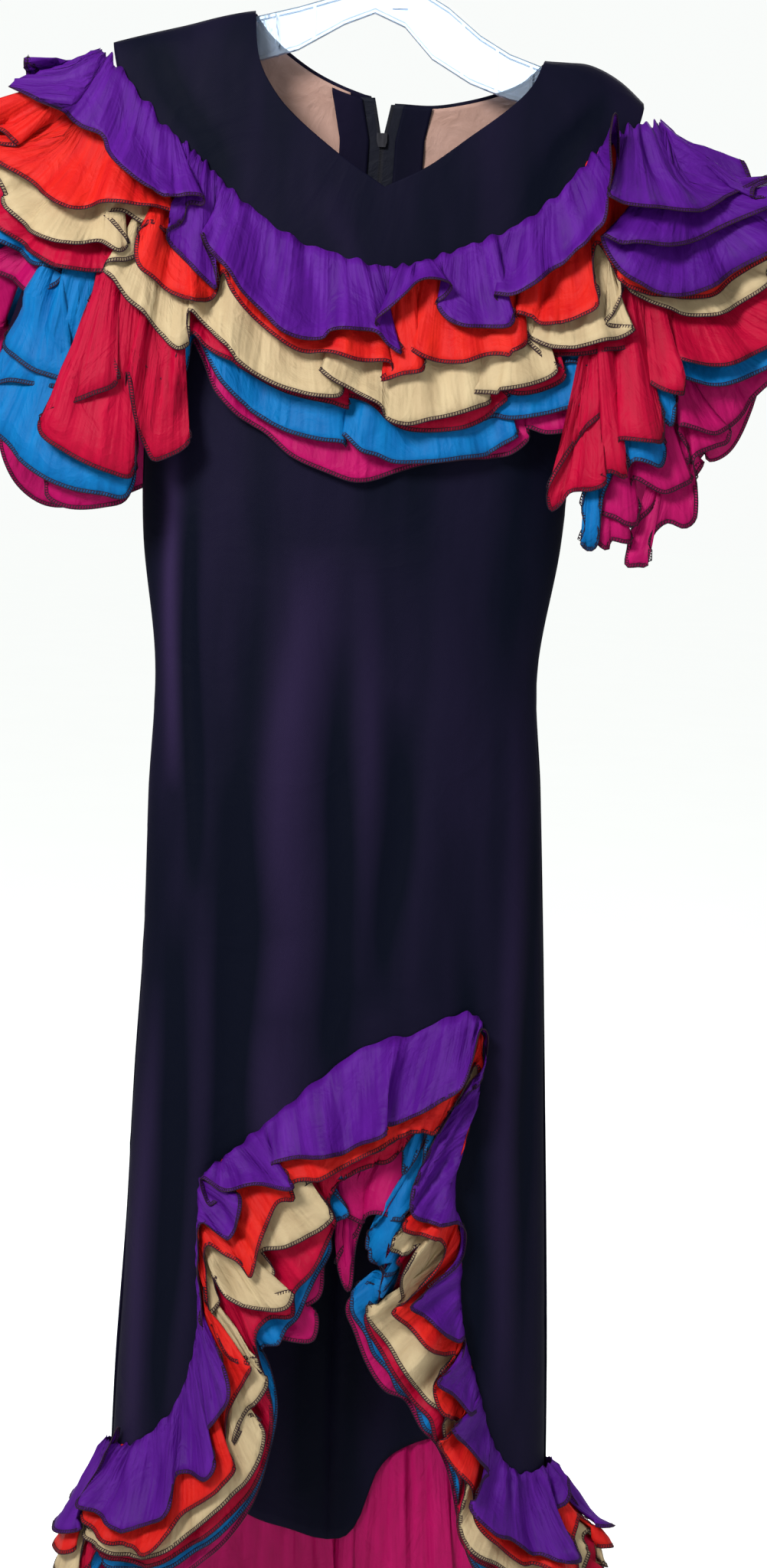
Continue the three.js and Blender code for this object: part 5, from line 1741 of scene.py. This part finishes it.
@dataclass
class Zip(Assembly):
    """The zip's teeth, slider and pull tab."""

    pitch: float = 1.5
    start: float = -188.9
    end: float = -596.0
    open_start: float = -176.0
    open_end: float = 4.0
    open_gap: float = 2.4
    depth: float = 0.7
    open_depth: float = SEAM_GAP + 0.5
    tooth: Triple = (1.25, 0.75, 0.45)

    def teeth(self, name: str, centres: tuple[Array, Array, Array], size: Triple,
              replaced: tuple[str, ...] = ()) -> None:
        """Small boxes for teeth.

        Args:
            name: the piece's name.
            centres: their places across, in depth and up.
            size: shares of a tooth's half sizes.
            replaced: the CAD nodes that they stand for.
        """
        points, faces = boxes(np.stack(centres, axis=-1), np.array(self.tooth) * size)
        obj = put_mesh(name, points, faces, smooth=False)
        finish_piece(obj, self.finishes.teeth, replaced)

    def build(self) -> None:
        """Builds the slider and pull, softened copies of their nodes, and the teeth.

        The closed teeth stand left and right in turn, half a pitch apart, and the open ones in a
        row on each tape's edge.
        """
        metal = self.finishes.black_metal
        slider = softened_copy("zip_slider", "zip_slider_body", 0.35)
        finish_piece(slider, metal, ("zip_slider",))
        pull = softened_copy("zip_pull", "zip_pull_tab", 0.3)
        finish_piece(pull, metal, ("zip_pull",), "pull")
        z = np.arange(self.start, self.end, -self.pitch / 2)
        side = np.where(np.arange(len(z)) % 2 == 0, 1.0, -1.0)
        deep = FORM.face(FORM.centre.at(z), z) - CREPE - self.depth
        self.teeth("zip_teeth", (FORM.centre.at(z) + side, deep, z), (1, 1, 0.7), ("zip_chain",))
        z = np.arange(self.open_start, FORM.zip_top - self.open_end, self.pitch)
        half = FORM.slot_half(z) - FORM.slot + self.open_gap
        x = np.concatenate([FORM.centre.at(z) - half, FORM.centre.at(z) + half])
        z = np.concatenate([z, z])
        deep = FORM.face(x, z) - CREPE - self.open_depth
        self.teeth("zip_open_teeth", (x, deep, z), (0.8, 1.0, 0.8))


def softened_copy(node: str, name: str, bevel: float) -> Piece:
    """A copy of a node's mesh, its doubles merged and its sharp edges rounded.

    Args:
        node: the CAD node.
        name: the copy's name.
        bevel: the width of its rounded edges, in millimetres.

    Returns:
        The copy.
    """
    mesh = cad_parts[node].data.copy()
    mesh.name = name
    mesh.polygons.foreach_set("use_smooth", np.zeros(len(mesh.polygons), dtype=bool))
    obj = stand(name, mesh)
    weld = obj.modifiers.new("weld", "WELD")
    weld.merge_threshold = 0.00002
    edge = obj.modifiers.new("edges", "BEVEL")
    edge.width = bevel * METRES
    edge.segments = 2
    edge.limit_method = "ANGLE"
    edge.angle_limit = math.radians(30)
    edge.harden_normals = False
    return obj


@dataclass
class Hanger(Assembly):
    """The clear hanger and its wire hook."""

    radius: float = 20.0
    wire: float = 1.9
    sides: int = 14
    neck_x: float = 1.0
    neck_z: float = -47.4
    hub: float = 12.0
    drop: float = 8.0
    swing: float = 45.0
    lean: float = 26.0
    fall: float = 18.0

    def hook(self) -> None:
        """The hook's round wire: a straight tip, an arc round the rod, a cubic and a shank."""
        mid = self.wire - self.radius
        turn = np.radians(np.linspace(180, -self.swing, 60))
        arc = np.column_stack([self.radius * np.cos(turn), 0 * turn,
                               mid + self.radius * np.sin(turn)])
        rise = np.linspace(mid - self.drop, mid, 8, endpoint=False)
        tip = np.column_stack([np.full(8, -self.radius), np.zeros(8), rise])
        hub = np.array([self.neck_x, 0, self.neck_z + self.hub])
        lean = unit(np.array([-1.0, 0.0, -1.0])) * self.lean
        curve = hermite(arc[-1], hub, lean, np.array([0, 0, -self.fall]), np.linspace(0, 1, 24)[1:, None])
        rise = np.linspace(hub[2], self.neck_z, 7)[1:]
        shank = np.column_stack([np.full(6, self.neck_x), np.zeros(6), rise])
        path = np.vstack([tip, arc, curve, shank])
        points, faces = tube(path, np.tile([0.0, 1.0, 0.0], (len(path), 1)), self.wire, self.sides)
        first = list(range(self.sides))
        caps = [first[::-1], [len(points) - self.sides + k for k in first]]
        obj = put_mesh("hanger_wire", points, faces.tolist() + caps)
        finish_piece(obj, self.finishes.steel, ("hanger_hook",))

    def build(self) -> None:
        """Builds the body, a softened copy of its node, and the hook."""
        body = softened_copy("hanger_body", "hanger_moulding", 0.7)
        finish_piece(body, self.finishes.plastic, ("hanger_body",))
        self.hook()


@dataclass
class Overlock:
    """The overlocked free edge of a tier: a cord, two chains of thread and the wraps between."""

    width: float = 3.0
    wrap_pitch: float = 2.6
    wrap_width: float = 0.85
    cord: float = 0.55
    cord_drop: float = 0.15
    chain: float = 0.38
    chain_off: float = 0.45

    def build(self, name: str, tier: Ruffle) -> Piece:
        """Builds it as one mesh.

        The wraps are flat loops: from the inner line on one face, over the free edge and back
        along the other face, each leaning a little along the edge.

        Args:
            name: its name.
            tier: the tier whose edge it covers.

        Returns:
            The object.
        """
        edge = tier.points[-1]
        ahead = unit(np.roll(edge, -1, axis=0) - np.roll(edge, 1, axis=0))
        up = tier.points[-2] - edge
        up = unit(up - (up * ahead).sum(axis=1, keepdims=True) * ahead)
        face = np.cross(ahead, up)
        inner = edge + up * self.width
        parts = [tube(edge - up * self.cord_drop, face, self.cord, 4, True)]
        for sign in (-1, 1):
            parts.append(tube(inner + face * sign * self.chain_off, face, self.chain, 3, True))
        parts.append(self.wraps(edge, inner, face, up))
        starts = np.cumsum([0] + [len(points) for points, _ in parts])
        faces = [part[1] + start for part, start in zip(parts, starts)]
        return put_mesh(name, np.vstack([points for points, _ in parts]), np.vstack(faces))

    def wraps(self, edge: Array, inner: Array, face: Array, up: Array) -> tuple[Array, Array]:
        """The wraps, five stations of two points each.

        Args:
            edge: the free edge.
            inner: the line where the stitch ends in the cloth.
            face: the way out of the cloth's face.
            up: the way from the edge into the cloth.

        Returns:
            Points and faces.
        """
        place = round_lengths(edge)
        count = int(place[-1] / self.wrap_pitch)
        at = (np.arange(count) + 0.5) * place[-1] / count
        rows = []
        for lean, base, out, lift in (
            (1.1, inner, 0.62, 0.0), (0.5, edge, 0.66, 0.4), (0.0, edge, 0.0, -0.75),
            (-0.5, edge, -0.66, 0.4), (-1.1, inner, -0.62, 0.0),
        ):
            line = base + face * out + up * lift
            line = np.vstack([line, line[:1]])
            for side in (-0.5, 0.5):
                where = (at + lean + side * self.wrap_width) % place[-1]
                rows.append(read_along(line, place, where))
        points = np.stack(rows, axis=1)
        quads = grid_faces(len(rows) // 2, 2)[:, [0, 3, 2, 1]]
        faces = (np.arange(count)[:, None, None] * len(rows) + quads[None]).reshape(-1, 4)
        return points.reshape(-1, 3), faces


@dataclass
class Ruffles(Assembly):
    """Both stacks of ruffles with their overlocked edges."""

    thick: float = 0.5
    flat_share: float = 1.25

    def build(self) -> None:
        """Builds the twelve tiers and their overlocks, and logs each tier's edge length and area.
        """
        overlock = Overlock()
        hem = RuffleStack(HEM, HEM_EDGES, HEM_BACK_FOLDS, ripple=3.4, wave=3.6, hitch=(0.0, 0.0))
        bertha = RuffleStack(BERTHA, BERTHA_EDGES, BERTHA_BACK_FOLDS)
        for stack_name, stack in (("bertha", bertha), ("hem", hem)):
            for tier, ruffle in stack.tiers().items():
                colour = tier.name.lower()
                node = f"{stack_name}_{tier.value + 1}_{colour}"
                faces = grid_faces(*ruffle.points.shape[:2], ring=True)
                obj = put_mesh(f"{node}_cloth", ruffle.points, faces, ruffle.cloth)
                thicken(obj, self.thick)
                finish_piece(obj, self.finishes.tiers[tier], (node,))
                seam = overlock.build(f"{node}_overlock", ruffle)
                finish_piece(seam, self.finishes.thread)
                length, area = ruffle.edge_length(), ruffle.area()
                LOG.info("%s: edge %.2f m, area %.3f m2", node, length, area)


# ---- studio


@dataclass
class Studio:
    """A pale floor, soft lights and a white sky."""

    floor_z: float = -1.86
    reach: float = 60.0
    sky: float = 0.40
    shown: float = 0.97
    white: Quad = (0.98, 1.0, 0.985, 1.0)

    def floor(self) -> None:
        """A wide floor that looks as white as the sky, so that no horizon shows."""
        side = np.array([-self.reach, self.reach])
        x, y = np.meshgrid(side, side)
        points = np.stack([x, y, np.full_like(x, self.floor_z)], axis=-1) / METRES
        obj = put_mesh("floor", points, grid_faces(2, 2)[:, ::-1])
        material, n, shader = start_material("pale_floor")
        place = n.place()
        tone = n.noise(place, 3.0)
        seen = n.add("ShaderNodeLightPath").outputs["Is Camera Ray"]
        n.dress(shader, {
            "Base Color": n.blend(tone, (0.88, 0.89, 0.88, 1), (0.92, 0.925, 0.92, 1)),
            "Roughness": 0.9, "Specular IOR Level": 0.0, "Emission Color": self.white,
            "Emission Strength": n.maths("MULTIPLY", seen, self.shown - 0.9 * self.sky)})
        obj.data.materials.append(material)

    def light(self, name: str, place: Triple, toward: Triple,
              size: float, power: float, colour: Triple) -> None:
        """A square area light.

        Args:
            name: its name.
            place: where it stands, in metres.
            toward: the point it faces.
            size: the length of its side.
            power: its watts.
            colour: its colour.
        """
        data = bpy.data.lights.new(name, "AREA")
        data.size, data.energy, data.color = size, power, colour
        back = unit(np.array(place, dtype=float) - np.array(toward))
        side = unit(np.cross([0.0, 0.0, 1.0], back))
        stand(name, data).matrix_world = turned([side, np.cross(back, side), back], place)

    def build(self) -> None:
        """Builds the floor, lights and sky; the sky shows brighter than it shines."""
        self.floor()
        self.light("key", (-1.5, -2.3, 1.1), (0, 0, -0.7), 0.9, 120, (1.0, 0.985, 0.96))
        self.light("fill", (2.2, -2.4, -0.4), (0, 0, -0.9), 2.0, 15, (0.9, 0.94, 1.0))
        self.light("back", (0.6, 1.9, 1.0), (0, 0, -0.8), 2.2, 45, (1.0, 1.0, 1.0))
        world = bpy.data.worlds.new("studio")
        world.use_nodes = True
        n = Nodes(world.node_tree)
        sky = world.node_tree.nodes["Background"]
        sky.inputs[0].default_value = self.white
        path = n.add("ShaderNodeLightPath")
        seen = n.maths("MAXIMUM", path.outputs["Is Camera Ray"], path.outputs["Is Transmission Ray"])
        n.link(n.maths("MULTIPLY_ADD", seen, self.shown - self.sky, self.sky), sky.inputs[1])
        bpy.context.scene.world = world
        bpy.context.scene.view_settings.view_transform = "Standard"


def main() -> None:
    """Builds the dress, piece by piece."""
    logging.basicConfig(level=logging.INFO, format="%(name)s: %(message)s")
    VIEW.camera()
    Studio().build()
    finishes = Finishes()
    for part in (Sheath, FlutterSleeves, BackInside, Zip, Ruffles, Hanger):
        part(finishes).build()


if __name__ == "__main__":
    main()
